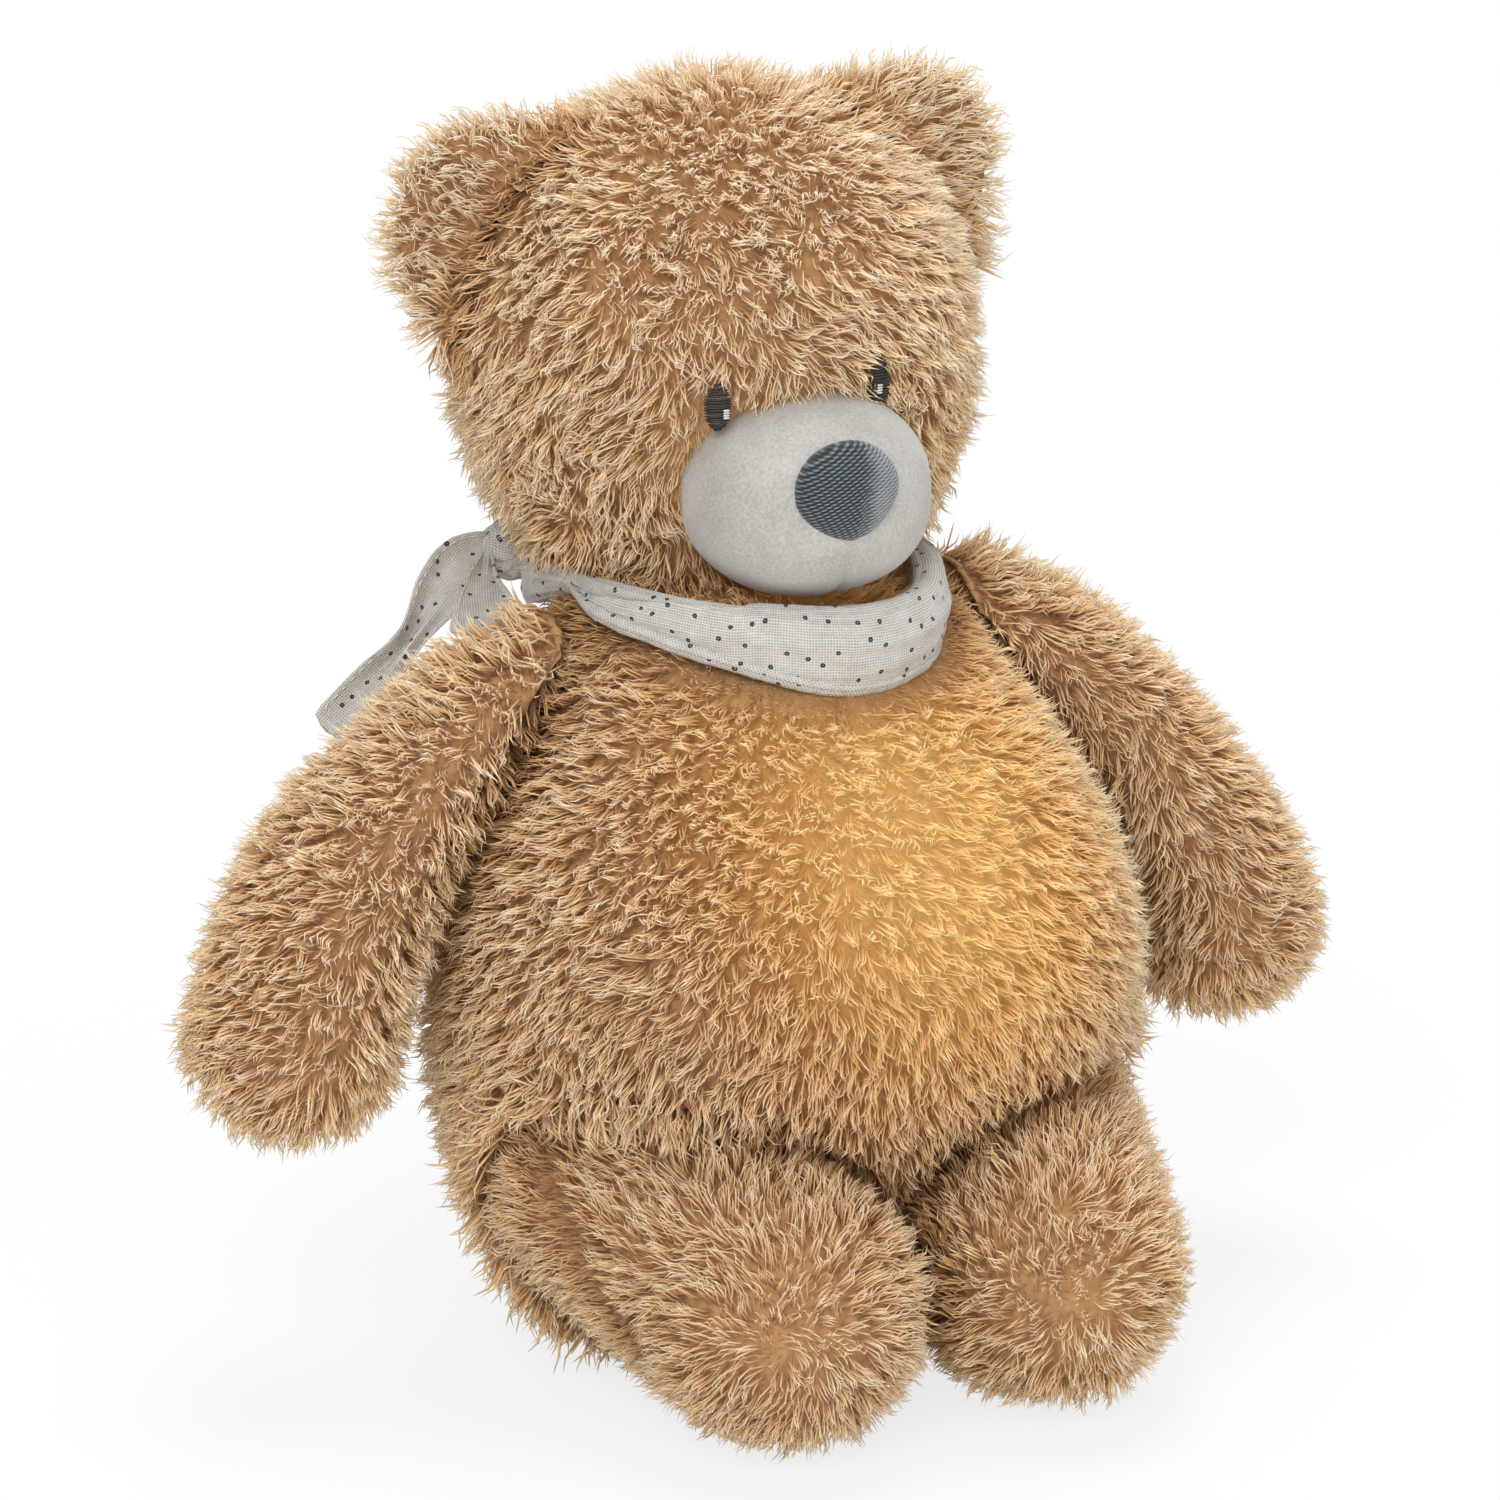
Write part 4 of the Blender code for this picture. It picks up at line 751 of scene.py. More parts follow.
def grow_fur(name, skin, body, seed, length=PILE_LENGTH, lean=PILE_LEAN):
    """Plants the wisps on a skin and splits them into pieces that ride on the body."""
    carrier = new_object(f"{name}_carrier", skin.copy())
    modifier = carrier.modifiers.new("fur", "NODES")
    modifier.node_group = FUR_TREE
    spacing = STRAND_SPACING
    values = {"Spacing": spacing, "Clump spacing": CLUMP_SPACING, "Clump pull": CLUMP_PULL, "Length": length}
    values.update({"Lean sine": math.sin(lean), "Lean cosine": math.cos(lean), "Seed": seed})
    values.update({"Wisps": WISPS, "Material": LOOKS["fur"]})
    for key, value in values.items():
        set_input(modifier, key, value)
    mesh = baked(carrier)
    points, faces = np.empty(len(mesh.vertices) * 3, np.float32), np.empty(len(mesh.polygons) * 3, np.int32)
    mesh.vertices.foreach_get("co", points)
    mesh.loops.foreach_get("vertex_index", faces)
    map_points = np.empty(len(mesh.loops) * 2, np.float32)
    mesh.uv_layers["OFBake"].data.foreach_get("uv", map_points)
    bpy.data.meshes.remove(mesh)
    points, faces, map_points = points.reshape(-1, 3), faces.reshape(-1, 3), map_points.reshape(-1, 3, 2)
    points[:, 2] = np.maximum(points[:, 2], LEAST_LEVEL)
    each = len(WISPS.objects[0].data.polygons)
    wisps = len(faces) // each
    count = max(1, math.ceil(len(faces) / MOST_TRIANGLES))
    middles = points[faces[::each, 0]]
    order = np.argsort(middles[:, 2], kind="stable")
    for k, share in enumerate(np.array_split(order, count)):
        chosen = (share[:, None] * each + np.arange(each)).ravel()
        used, index = np.unique(faces[chosen], return_inverse=True)
        piece = bpy.data.meshes.new(f"{name}_{k + 1}")
        corners = index.reshape(-1)
        piece.vertices.add(len(used))
        piece.vertices.foreach_set("co", points[used].ravel())
        piece.loops.add(len(corners))
        piece.loops.foreach_set("vertex_index", corners.astype(np.int32))
        piece.polygons.add(len(chosen))
        piece.polygons.foreach_set("loop_start", np.arange(0, len(corners), 3, dtype=np.int32))
        layer = piece.uv_layers.new(name="OFBake")
        layer.data.foreach_set("uv", map_points[chosen].ravel())
        piece.materials.append(LOOKS["fur"])
        piece.update(calc_edges=True)
        piece.shade_smooth()
        obj = new_object(f"{name}_{k + 1}" if count > 1 else name, piece)
        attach(obj, body)
    print("fur", name, wisps, "wisps", count, "pieces")


# ---- Skins and how their pile lies ----


def rise(far, least, reach):
    """A share that grows from the least at a neighbouring surface to one at the reach."""
    return least + (1 - least) * smooth_share(far, 0.0005, reach)


def flat_share(places, whorl):
    """How far the pile lies down, less near a whorl, so that the backing stays covered there."""
    if whorl is None:
        return np.ones(len(places))
    far = np.linalg.norm(places - np.array(whorl), axis=1)
    return 0.40 + 0.60 * smooth_share(far, 0.002, 0.020)


def pile_field(mesh, outer, flow, seed, trim, wildness=1.15, whorl=None):
    """Comb direction, length, density, shade, glow and evenness of the pile at each vertex of a skin."""
    places, normals = mesh_arrays(mesh)
    way = flow(places) + wildness * swirls(places, 52.0, seed) + 0.6 * swirls(places, 150.0, seed + 1)
    way -= normals * (way * normals).sum(1, keepdims=True)
    field = {name: np.ones(len(places)) for name in ("pile", "thick", "shade")}
    field["comb"] = unit(way) * flat_share(places, whorl)[:, None]
    field["glow"], field["even"] = np.zeros(len(places)), np.zeros(len(places))
    trim(outer, field)
    for name, values in field.items():
        put_attribute(mesh, name, values)


def flow_from(point, down):
    """Pile that fans out from a whorl, with some drop."""

    def flow(places):
        fan = unit(places - np.array(point))
        fan[:, 2] -= down
        return unit(fan)

    return flow


def flow_along(start, end):
    """Pile that lies along a limb towards its end."""
    way = np.array(end, float) - np.array(start, float)

    def flow(places):
        return np.tile(way / np.linalg.norm(way), (len(places), 1))

    return flow


def soft_piece(name, mesh, look, body, node):
    """A stuffed or padded piece that stands for a CAD node."""
    mesh.materials.clear()
    mesh.materials.append(look)
    mesh.shade_smooth()
    obj = new_object(name, mesh)
    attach(obj, body)
    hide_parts(node)


def finish_skin(mesh, node, body):
    """Makes a fur skin the padded piece that stands for its CAD solid."""
    soft_piece(f"{node}_skin", mesh, LOOKS["backing"], body, node)


def make_head():
    """Head skin and fur, thin at the muzzle and eyes."""
    mesh = even_skin("head_skin", "head", HEAD_VOXEL)
    body, muzzle, band = surface_tree("body"), surface_tree("muzzle"), surface_tree("neckerchief_band")
    outer = sink(mesh, PILE_DEPTH, surface_tree("body", "neckerchief_band", "ear_left", "ear_right"))
    eyes, ears = surface_tree("eye_left", "eye_right"), surface_tree("ear_left", "ear_right")
    low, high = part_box("muzzle")
    middle = (low + high) / 2
    brow_level = (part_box("eye_left")[0].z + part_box("eye_left")[1].z) / 2 + 0.0008

    def trim(outer, field):
        near = distances(muzzle, outer, 0.02)
        inside = ((outer - np.array(middle)) ** 2 / np.array([0.030, 0.05, 0.0225]) ** 2).sum(1) < 0.80
        field["pile"] *= rise(near, 0.55, 0.011) + np.where(outer[:, 0] > 0.020, 0.3, 0.0) * (
            1 - smooth_share(near, 0.001, 0.011)
        )
        field["thick"] *= ~(inside & (outer[:, 1] < middle.y + 0.03))
        field["shade"] *= rise(near, 0.72, 0.006)
        beside = outer - np.array([-EYE_SHIFT, 0.0, 0.0]) * (np.abs(outer[:, :1]) < 0.05)
        by_eye = distances(eyes, beside, 0.012)
        least = np.where(outer[:, 0] > 0, 1.05, np.where(outer[:, 2] > brow_level, 0.85, 0.42))
        field["pile"] *= least + (1 - least) * smooth_share(by_eye, 0.001, 0.007)
        beyond = (outer[:, 0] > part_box("eye_left")[0].x - EYE_SHIFT + 0.0022) | (
            outer[:, 2] > brow_level - 0.003
        )
        field["thick"] *= (by_eye > 0.0004) | ((outer[:, 0] > 0) & beyond)
        under = distances(body, outer, 0.014)
        field["thick"] *= under > 0.0012
        # painted light and shade: the head's pile a little lighter overall, darker just above the body and by
        # the ears
        field["shade"] *= 1.05 * rise(under, 0.8, 0.013) * rise(distances(ears, outer, 0.014), 0.5, 0.007)
        by_band = distances(band, outer, 0.016)
        chin = (outer[:, 1] < -0.030) & (outer[:, 0] > -0.028)
        field["pile"] *= 1 + np.where(chin, 0.45, -0.08) * (1 - smooth_share(by_band, 0.004, 0.015))
        # painted light: the pile grows lighter towards the top of the head
        field["shade"] *= 1 + 0.08 * smooth_share(outer[:, 2], 0.215, 0.262)
        field["even"] = 0.2 + 0.7 * smooth_share(outer[:, 2], 0.215, 0.262)

    crown = (0.002, 0.050, 0.304)
    pile_field(mesh, outer, flow_from(crown, 0.15), 1, trim, 1.25, crown)
    grow_fur("head_fur", mesh, "head", 1, PILE_LENGTH, LEAN_HEAD)
    finish_skin(mesh, "head", "head")


def lap_share(places):
    """One between and above the feet, where painted shade darkens the belly's lower edge, and zero at the hips.
    """
    return smooth_share(-np.abs(places[:, 0] - 0.012), -0.066, -0.038) * (places[:, 1] < -0.02)


def make_body():
    """Body skin and fur, with the glow of the lamps in its belly."""
    low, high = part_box("pouch")
    middle = (low + high) / 2
    radius = (high.x - low.x) / 2 + 0.002
    shape = bmesh.new()
    bmesh.ops.create_cone(
        shape, cap_ends=True, segments=40, radius1=radius, radius2=radius, depth=high.y - low.y + 0.006
    )
    bmesh.ops.rotate(shape, verts=shape.verts, matrix=Matrix.Rotation(math.radians(90.0), 3, "X"))
    bmesh.ops.translate(shape, verts=shape.verts, vec=middle)
    pocket = mesh_from("pocket", shape)
    strip_low, strip_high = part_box("hook_strip")
    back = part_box("body")[1].y
    shape = bmesh.new()
    bmesh.ops.create_cube(shape, size=1.0)
    depth = back - 0.004 - low.y
    bmesh.ops.scale(shape, verts=shape.verts, vec=(strip_high.x - strip_low.x + 0.004, depth, 0.008))
    bmesh.ops.translate(shape, verts=shape.verts, vec=(0, low.y + depth / 2, middle.z))
    slit = mesh_from("slit", shape)
    mesh = even_skin("body_skin", "body", BODY_VOXEL, [pocket, slit])
    head, band = surface_tree("head"), surface_tree("neckerchief_band")
    legs = surface_tree("leg_left", "leg_right")
    arms = surface_tree("arm_left", "arm_right")
    hem = grid_tree(hem_grid(40, 6))
    outer = sink(mesh, PILE_DEPTH, surface_tree("head", "neckerchief_band"))

    def trim(outer, field):
        by_head = distances(head, outer, 0.014)
        field["thick"] *= by_head > 0.0012
        by_band = distances(band, outer, 0.014)
        field["pile"] *= rise(by_band, 0.8, 0.006) * rise(distances(hem, outer, 0.010), 0.4, 0.007)
        by_leg = distances(legs, outer, 0.016)
        by_arm = distances(arms, outer, 0.022)
        front = lap_share(outer)
        lap = smooth_share(by_leg, 0.001, 0.014)
        field["pile"] *= rise(by_arm, 0.8, 0.007) * (1 + (0.5 - 1.0 * front) * (1 - lap))
        field["shade"] *= rise(by_head, 0.8, 0.010) * rise(by_band, 0.55, 0.010)
        field["shade"] *= arm_crease(by_arm, 0.014, outer)
        field["shade"] *= 1 - (0.14 + 0.36 * front) * (1 - lap)
        seat = 1 - smooth_share(outer[:, 2], 0.001, 0.012)
        field["pile"] *= 1 - 0.55 * seat
        field["thick"] *= 1 - 0.55 * seat
        slit_gap = np.abs(outer[:, 2] - middle.z) + 0.5 * np.maximum(0.0, np.abs(outer[:, 0]) - strip_high.x)
        parting = (1 - smooth_share(slit_gap, 0.0, 0.005)) * (outer[:, 1] > middle.y)
        field["shade"] *= 1 - 0.45 * parting
        far = np.linalg.norm((outer - np.array(GLOW_CENTRE)) * np.array(GLOW_STRETCH), axis=1)
        field["glow"] = (1 - smooth_share(far, GLOW_CORE, GLOW_REACH)) * smooth_share(by_band, 0.001, 0.011)

    pile_field(mesh, outer, flow_from((0.004, -0.004, 0.178), 0.75), 2, trim, 1.0)
    grow_fur("body_fur", mesh, "torso", 2)
    finish_skin(mesh, "body", "torso")


def arm_crease(far, reach, places):
    """Shade in the crease of arm and body, dark at the armpits and not over the shoulders."""
    lit = rise(far, 0.5, reach)
    return lit + (1 - lit) * (0.8 * smooth_share(places[:, 2], 0.158, 0.173))


def make_arm(side, word):
    """An arm's skin and fur, the right arm's pressed in by the hanging ends of the neckerchief."""
    mesh = even_skin(f"arm_{word}_skin", f"arm_{word}", LIMB_VOXEL)
    if side < 0:
        press_in(mesh, DENT_WAY, DENT_DEPTH, DENT_LOW, DENT_HIGH)
    outer = sink(mesh, PILE_DEPTH)
    body = surface_tree("body")
    cloth = surface_tree("neckerchief_knot")

    ends = grid_tree(end_grid(LONG_END_ROWS, 24, 8, 4)[0], end_grid(SHORT_END_ROWS, 24, 8, 6)[0])

    def trim(outer, field):
        by_body = distances(body, outer, 0.022)
        by_ends = distances(ends, outer, 0.016)
        field["pile"] *= rise(by_body, 0.9, 0.007) * rise(distances(cloth, outer, 0.012), 0.5, 0.010)
        field["pile"] *= 1 + 0.2 * smooth_share(outer[:, 2], 0.160, 0.174)
        if side < 0:
            field["pile"] *= rise(by_ends, 0.3, 0.011)
            field["thick"] *= by_ends > 0.0020
        field["shade"] *= arm_crease(by_body, 0.013, outer)

    flow = flow_along((side * 0.055, 0.024, 0.175), (side * 0.120, 0.010, 0.085))
    pile_field(mesh, outer, flow, 3 + side, trim)
    grow_fur(f"arm_{word}_fur", mesh, f"arm_{word}", 5 + side)
    finish_skin(mesh, f"arm_{word}", f"arm_{word}")


def ankle_fold(places):
    """One along the fold between a thigh and its foot, on the leg's outer side, and zero off it."""
    off = places[:, 1] + 0.040 + 0.85 * (0.054 - places[:, 2])
    return np.exp(-((off / 0.0055) ** 2)) * smooth_share(np.abs(places[:, 0]), 0.036, 0.048) * (
        places[:, 2] > 0.020
    )


def make_leg(side, word):
    """A leg's skin and fur, with a fold at the ankle and a whorl on the foot's sole."""
    mesh = even_skin(f"leg_{word}_skin", f"leg_{word}", LIMB_VOXEL)
    places, normals = mesh_arrays(mesh)
    places -= normals * ANKLE_FOLD_DEPTH * ankle_fold(places)[:, None]
    move_to(mesh, places)
    outer = sink(mesh, PILE_DEPTH)
    body = surface_tree("body")
    other = surface_tree("leg_right" if side > 0 else "leg_left")
    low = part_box(f"leg_{word}")[0]

    def trim(outer, field):
        by_body = distances(body, outer, 0.016)
        inner = (outer[:, 1] > -0.045) & (by_body < 0.003)
        field["thick"] *= np.where(inner, 0.5, 1.0)
        front = lap_share(outer)
        lap = smooth_share(by_body, 0.001, 0.014)
        fold = ankle_fold(outer)
        field["pile"] *= (0.6 + 0.4 * smooth_share(outer[:, 2], 0.002, 0.010)) * (
            1 + (0.3 - 0.4 * front) * (1 - lap)
        )
        field["pile"] *= 0.9 - 0.25 * fold
        field["shade"] *= 1 - (0.14 + 0.30 * front) * (1 - lap)
        field["shade"] *= rise(distances(other, outer, 0.018), 0.5, 0.018) * (1 - 0.5 * fold)
        far = np.linalg.norm(outer - np.array(sole), axis=1)
        field["shade"] *= 1.18 - 0.18 * smooth_share(far, 0.004, 0.018)

    sole = (side * 0.034, low.y, 0.034)
    pile_field(mesh, outer, flow_from(sole, 0.0), 8 + side, trim, 1.5, sole)
    grow_fur(f"leg_{word}_fur", mesh, f"leg_{word}", 11 + side)
    finish_skin(mesh, f"leg_{word}", f"leg_{word}")


def make_ear(side, word):
    """An ear's skin and fur, which points outwards to the rim."""
    mesh = even_skin(f"ear_{word}_skin", f"ear_{word}", EAR_VOXEL)
    head = surface_tree("head")
    outer = sink(mesh, PILE_DEPTH_EARS, head)
    low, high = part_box(f"ear_{word}")
    middle = (low + high) / 2

    def trim(outer, field):
        by_head = distances(head, outer, 0.014)
        field["thick"] *= by_head > 0.0006
        field["pile"] *= 1.30 - 0.36 * smooth_share(outer[:, 2], low.z, middle.z)
        # painted light and shade: the ear's pile is lighter all over, and darker where the ear meets the head
        field["shade"] *= 1.30 * rise(by_head, 0.35, 0.005)
        field["even"] += 0.9

    flow = flow_from((middle.x - side * 0.024, middle.y, middle.z - 0.008), 0.0)
    pile_field(mesh, outer, flow, 13 + side, trim, 0.6)
    grow_fur(f"ear_{word}_fur", mesh, "head", 15 + side, PILE_LENGTH, LEAN_EARS)
    finish_skin(mesh, f"ear_{word}", "head")


# ---- Neckerchief ----


def curve_row(before, start, end, after, t):
    """One row on the smooth curve between start and end."""
    return tuple(
        0.5 * (2 * b + (c - a) * t + (2 * a - 5 * b + 4 * c - d) * t**2 + (3 * b - a - 3 * c + d) * t**3)
        for a, b, c, d in zip(before, start, end, after)
    )


def row_at(rows, place, closed=False):
    """The row at a place counted in rows, on the smooth curve through them."""
    count = len(rows)
    first = math.floor(place) if closed else min(math.floor(place), count - 2)
    spots = [first + k for k in (-1, 0, 1, 2)]
    four = [rows[k % count if closed else min(max(k, 0), count - 1)] for k in spots]
    return curve_row(*four, place - first)


def blend_table(table, place):
    """A value looked up between the (place, value) pairs of a table."""
    return float(np.interp(place, [row[0] for row in table], [row[1] for row in table]))


def cloth_mesh(name, grid, closed, turn=0.0):
    """A sheet from a grid of points, with a weave map in metres, turned to the cloth's bias."""
    along, across = len(grid), len(grid[0])
    steps = [[(grid[i][j] - grid[i - 1][j]).length if i else 0.0 for j in range(across)] for i in range(along)]
    runs = np.cumsum(np.array(steps).mean(1))
    widths = [[(grid[i][j] - grid[i][j - 1]).length if j else 0.0 for j in range(across)] for i in range(along)]
    spans = np.cumsum(np.array(widths), axis=1)
    spans -= spans[:, -1:] / 2
    last = (grid[0][0] - grid[-1][0]).length
    points = [tuple(point) for ring in grid for point in ring]
    faces, marks = [], []
    cosine, sine = math.cos(turn), math.sin(turn)
    for i in range(along if closed else along - 1):
        k = (i + 1) % along
        for j in range(across - 1):
            faces.append((i * across + j, k * across + j, k * across + j + 1, i * across + j + 1))
            far = runs[k] if k else runs[-1] + last
            corners = (
                (runs[i], spans[i][j]), (far, spans[k][j]), (far, spans[k][j + 1]), (runs[i], spans[i][j + 1])
            )
            marks += [(u * cosine - v * sine, u * sine + v * cosine) for u, v in corners]
    mesh = bpy.data.meshes.new(name)
    mesh.from_pydata(points, [], faces)
    layer = mesh.uv_layers.new(name="weave")
    layer.data.foreach_set("uv", np.array(marks, np.float32).ravel())
    return mesh


def cloth_piece(name, grid, closed, turn=0.0, thickness=CLOTH_THICKNESS):
    """The sheet with its thickness, as a piece that rides on the torso."""
    carrier = new_object(f"{name}_flat", cloth_mesh(name, grid, closed, turn))
    wall = carrier.modifiers.new("thickness", "SOLIDIFY")
    wall.thickness = thickness
    wall.offset = 0.0
    mesh = baked(carrier)
    mesh.name = name
    mesh.materials.clear()
    mesh.materials.append(LOOKS["muslin"])
    mesh.shade_smooth()
    obj = new_object(name, mesh)
    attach(obj, "torso")
    return obj


def crumple(point, scale, seed):
    """A smooth random number at a point, between -1 and 1."""
    return noise.noise(Vector(point) * scale + Vector((seed * 3.7, seed * 1.9, seed * 5.3)))


def band_point(row, angle, proud=0.0):
    """A point of the folded band, at an angle round its section from its top edge outwards."""
    side, back, sag, tall, thick = row_at(BAND_ROWS, row % 10, True)
    ahead = row_at(BAND_ROWS, (row + 0.02) % 10, True)
    behind = row_at(BAND_ROWS, (row - 0.02) % 10, True)
    spot = Vector((BAND_SIDE * side, BAND_BACK * back, BAND_UP - BAND_FRONT_SAG * sag))
    along = Vector((BAND_SIDE * (ahead[0] - behind[0]), BAND_BACK * (ahead[1] - behind[1]), 0)).normalized()
    out = along.cross(Vector((0, 0, 1)))
    pinch = 1 - 0.42 * math.exp(-(((row % 10) - 7.05) / 0.5) ** 2)
    level, outward = math.cos(angle), math.sin(angle)
    flat = math.copysign(abs(outward) ** 0.75, outward)
    tall, thick = BAND_HALF_HEIGHT * tall * pinch, BAND_HALF_THICKNESS * thick
    fan = (angle - 1.6) * 1.9
    run = (row - 7) % 10
    ridge = 0.0008 * crumple((run * 0.55, fan, 0.0), 1.0, 1) + 0.0005 * crumple(
        (run * 1.6, fan * 2.6, 0.0), 1.0, 2
    )
    crepe = 0.00016 * crumple((run * 22.0, angle * 14.0, 0.0), 1.0, 3)
    lift = proud + (ridge + crepe) * (1.0 if outward > -0.3 else 0.2)
    return spot + Vector((0, 0, tall * level + lift * level)) + out * (thick * flat + lift * outward)


FLAP_TOP = ((7.12, 98), (7.6, 80), (8.0, 62), (8.5, 42), (9.0, 16), (9.3, -18), (9.8, -42), (12.7, -42))
FLAP_FOOT = (
    *((7.12, 104), (7.6, 116), (8.0, 124), (8.5, 133), (9.0, 144)),
    *((9.5, 154), (10.0, 162), (10.6, 168), (12.7, 172)),
)
FLAP_START, FLAP_END = 7.12, 12.7
HEM_RADIUS = 0.0018


def flap_foot(row):
    """A point on the lower edge of the band's front fold, just proud of it."""
    return band_point(row, math.radians(blend_table(FLAP_FOOT, row)), 0.0016)


def hem_grid(steps, around):
    """The rolled hem along the front fold's lower edge."""
    grid = []
    for i in range(steps):
        row = FLAP_START + (FLAP_END - FLAP_START) * i / (steps - 1)
        middle = flap_foot(row)
        along = (flap_foot(row + 0.02) - flap_foot(row - 0.02)).normalized()
        side = along.cross(Vector((0, 0, 1))).normalized()
        up = side.cross(along)
        slack = 1 + 0.12 * crumple((row * 5.0, 0.0, 0.0), 1.0, 8)
        radius = HEM_RADIUS * slack * min(1.0, 0.25 + (row - FLAP_START) / 0.9, 0.25 + (FLAP_END - row) / 0.9)
        turns = [2.7 * math.pi * j / (around - 1) for j in range(around)]
        grid.append(
            [middle + (side * math.cos(t) + up * math.sin(t)) * radius * (1.12 - 0.035 * t) for t in turns]
        )
    return grid


def grid_tree(*grids):
    """A search tree over grids of points, for trimming the pile under cloth."""
    points, faces = [], []
    for grid in grids:
        start, across = len(points), len(grid[0])
        for ring in grid:
            points += ring
        for i in range(start, len(points) - across, across):
            faces += [(i + j, i + j + 1, i + j + across + 1, i + j + across) for j in range(across - 1)]
    return BVHTree.FromPolygons(points, faces)


def make_band():
    """The folded cloth round the neck, the layer that lies over its front and that layer's rolled hem."""
    turns, across = ((260, 60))
    angles = np.radians(np.linspace(-112, 226, across))
    grid = [[band_point(10 * i / turns, angle) for angle in angles] for i in range(turns)]
    band = cloth_piece("neckerchief_cloth", grid, True, math.radians(40.0))
    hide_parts("neckerchief_band")
    grid = []
    steps, across = ((150, 40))
    for i in range(steps):
        row = FLAP_START + (FLAP_END - FLAP_START) * i / (steps - 1)
        top, foot = math.radians(blend_table(FLAP_TOP, row)), math.radians(blend_table(FLAP_FOOT, row))
        proud = 0.0011 * min(1.0, (row - FLAP_START) / 0.5)
        grid.append([band_point(row, top + (foot - top) * j / (across - 1), proud) for j in range(across)])
    flap = cloth_piece("neckerchief_front_fold", grid, False)
    steps, around = ((190, 20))
    hem = cloth_piece("neckerchief_rolled_hem", hem_grid(steps, around), False, math.radians(52.0), 0.0004)


def end_grid(rows, steps, across, seed):
    """The hanging end of the cloth that the rows describe, with rounded corners, and its front."""
    grid, fronts = [], []
    last = len(rows) - 1
    for i in range(steps):
        share = i / (steps - 1)
        place = last * share
        reach, drop, back, wide, gather, roll = row_at(rows, min(place, last - 1e-6))
        ahead = row_at(rows, min(place + 0.03, last - 1e-6))
        behind = row_at(rows, max(place - 0.03, 0.0))
        spot = Vector((KNOT.x - reach, KNOT.y * back, KNOT.z - drop))
        way = Vector((behind[0] - ahead[0], KNOT.y * (ahead[2] - behind[2]), behind[1] - ahead[1]))
        along = way.normalized()
        side = along.cross(Vector((0.30, 0.66, -0.70))).normalized()
        front = along.cross(side).normalized()
        near_end = max(0.0, (share - 0.90) / 0.10) * 0.985
        rounded = (1 - near_end**3) ** (1 / 3)
        ring = []
        for j in range(across):
            c = 2 * j / (across - 1) - 1
            out = wide * gather * (1 - 0.25 * (1 - rounded)) * c * (
                0.55 + 0.45 * rounded if near_end < 0.8 else rounded
            )
            pleat = (1 - gather) * 0.0022 * math.sin(1.8 * math.pi * c + 0.6)
            curl = roll * (0.0030 * math.exp(-(((c + 1) / 0.30) ** 2)) - 0.0012 * math.cos(math.pi * c / 2))
            hem = 0.00025 if abs(c) > 0.84 or share > 0.955 else 0.0
            ripple = 0.0007 * crumple((share * 4.0, c * 1.3, 0), 1.0, seed) + 0.00012 * crumple(
                (share * 60, c * 14, 0), 1.0, seed + 1
            )
            ring.append(spot + side * out + front * (pleat + curl + hem + ripple))
        grid.append(ring)
        fronts.append(front)
    return grid, fronts


def make_ends():
    """The two loose ends of the neckerchief and the stitches of their hems."""
    steps, across = ((110, 34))
    paths, lifts = [], []
    for name, rows, flat, seed in (
        ("long", LONG_END_ROWS, FLAT_LONG_END, 4),
        ("short", SHORT_END_ROWS, FLAT_SHORT_END, 6),
    ):
        grid, fronts = end_grid(rows, steps, across, seed)
        end = cloth_piece(f"neckerchief_end_{name}", grid, False)
        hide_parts(f"neckerchief_tail_{name}")
        first, low, high, line = int(0.12 * steps), int(0.09 * across), int(0.91 * across), int(0.945 * steps)
        route = [(i, low) for i in range(first, line)] + [(line, j) for j in range(low, high)]
        route += [(i, high) for i in range(line, first, -1)]
        paths.append([grid[i][j] + fronts[i] * 0.0005 for i, j in route])
        lifts.append([fronts[i] for i, _ in route])
    obj = sewn_stitches("neckerchief_hem_stitches", paths, lifts, 0.0030, 0.0020, LOOKS["thread_white"])
    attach(obj, "torso")


def shell_grid(name, rings, segments, place):
    """A closed surface through points given by a latitude and a longitude, its faces outward."""
    points = [tuple(place(0.0, 0.0))]
    for i in range(1, rings):
        points += [tuple(place(math.pi * i / rings, 2 * math.pi * j / segments)) for j in range(segments)]
    points.append(tuple(place(math.pi, 0.0)))
    last = len(points) - 1
    faces = []
    for j in range(segments):
        k = (j + 1) % segments
        faces.append((0, 1 + j, 1 + k))
        for i in range(rings - 2):
            a, b = 1 + i * segments, 1 + (i + 1) * segments
            faces.append((a + j, b + j, b + k, a + k))
        a = 1 + (rings - 2) * segments
        faces.append((last, a + k, a + j))
    mesh = bpy.data.meshes.new(name)
    mesh.from_pydata(points, [], faces)
    shape = bmesh.new()
    shape.from_mesh(mesh)
    bmesh.ops.recalc_face_normals(shape, faces=shape.faces)
    shape.to_mesh(mesh)
    shape.free()
    return mesh


def map_flat(mesh, matrix):
    """Gives the mesh a weave map in metres, from its X and Z in the matrix's frame."""
    back = matrix.inverted()
    flat = [back @ vertex.co for vertex in mesh.vertices]
    layer = mesh.uv_layers.new(name="weave")
    for loop in mesh.loops:
        spot = flat[loop.vertex_index]
        layer.data[loop.index].uv = (spot.x, spot.z)


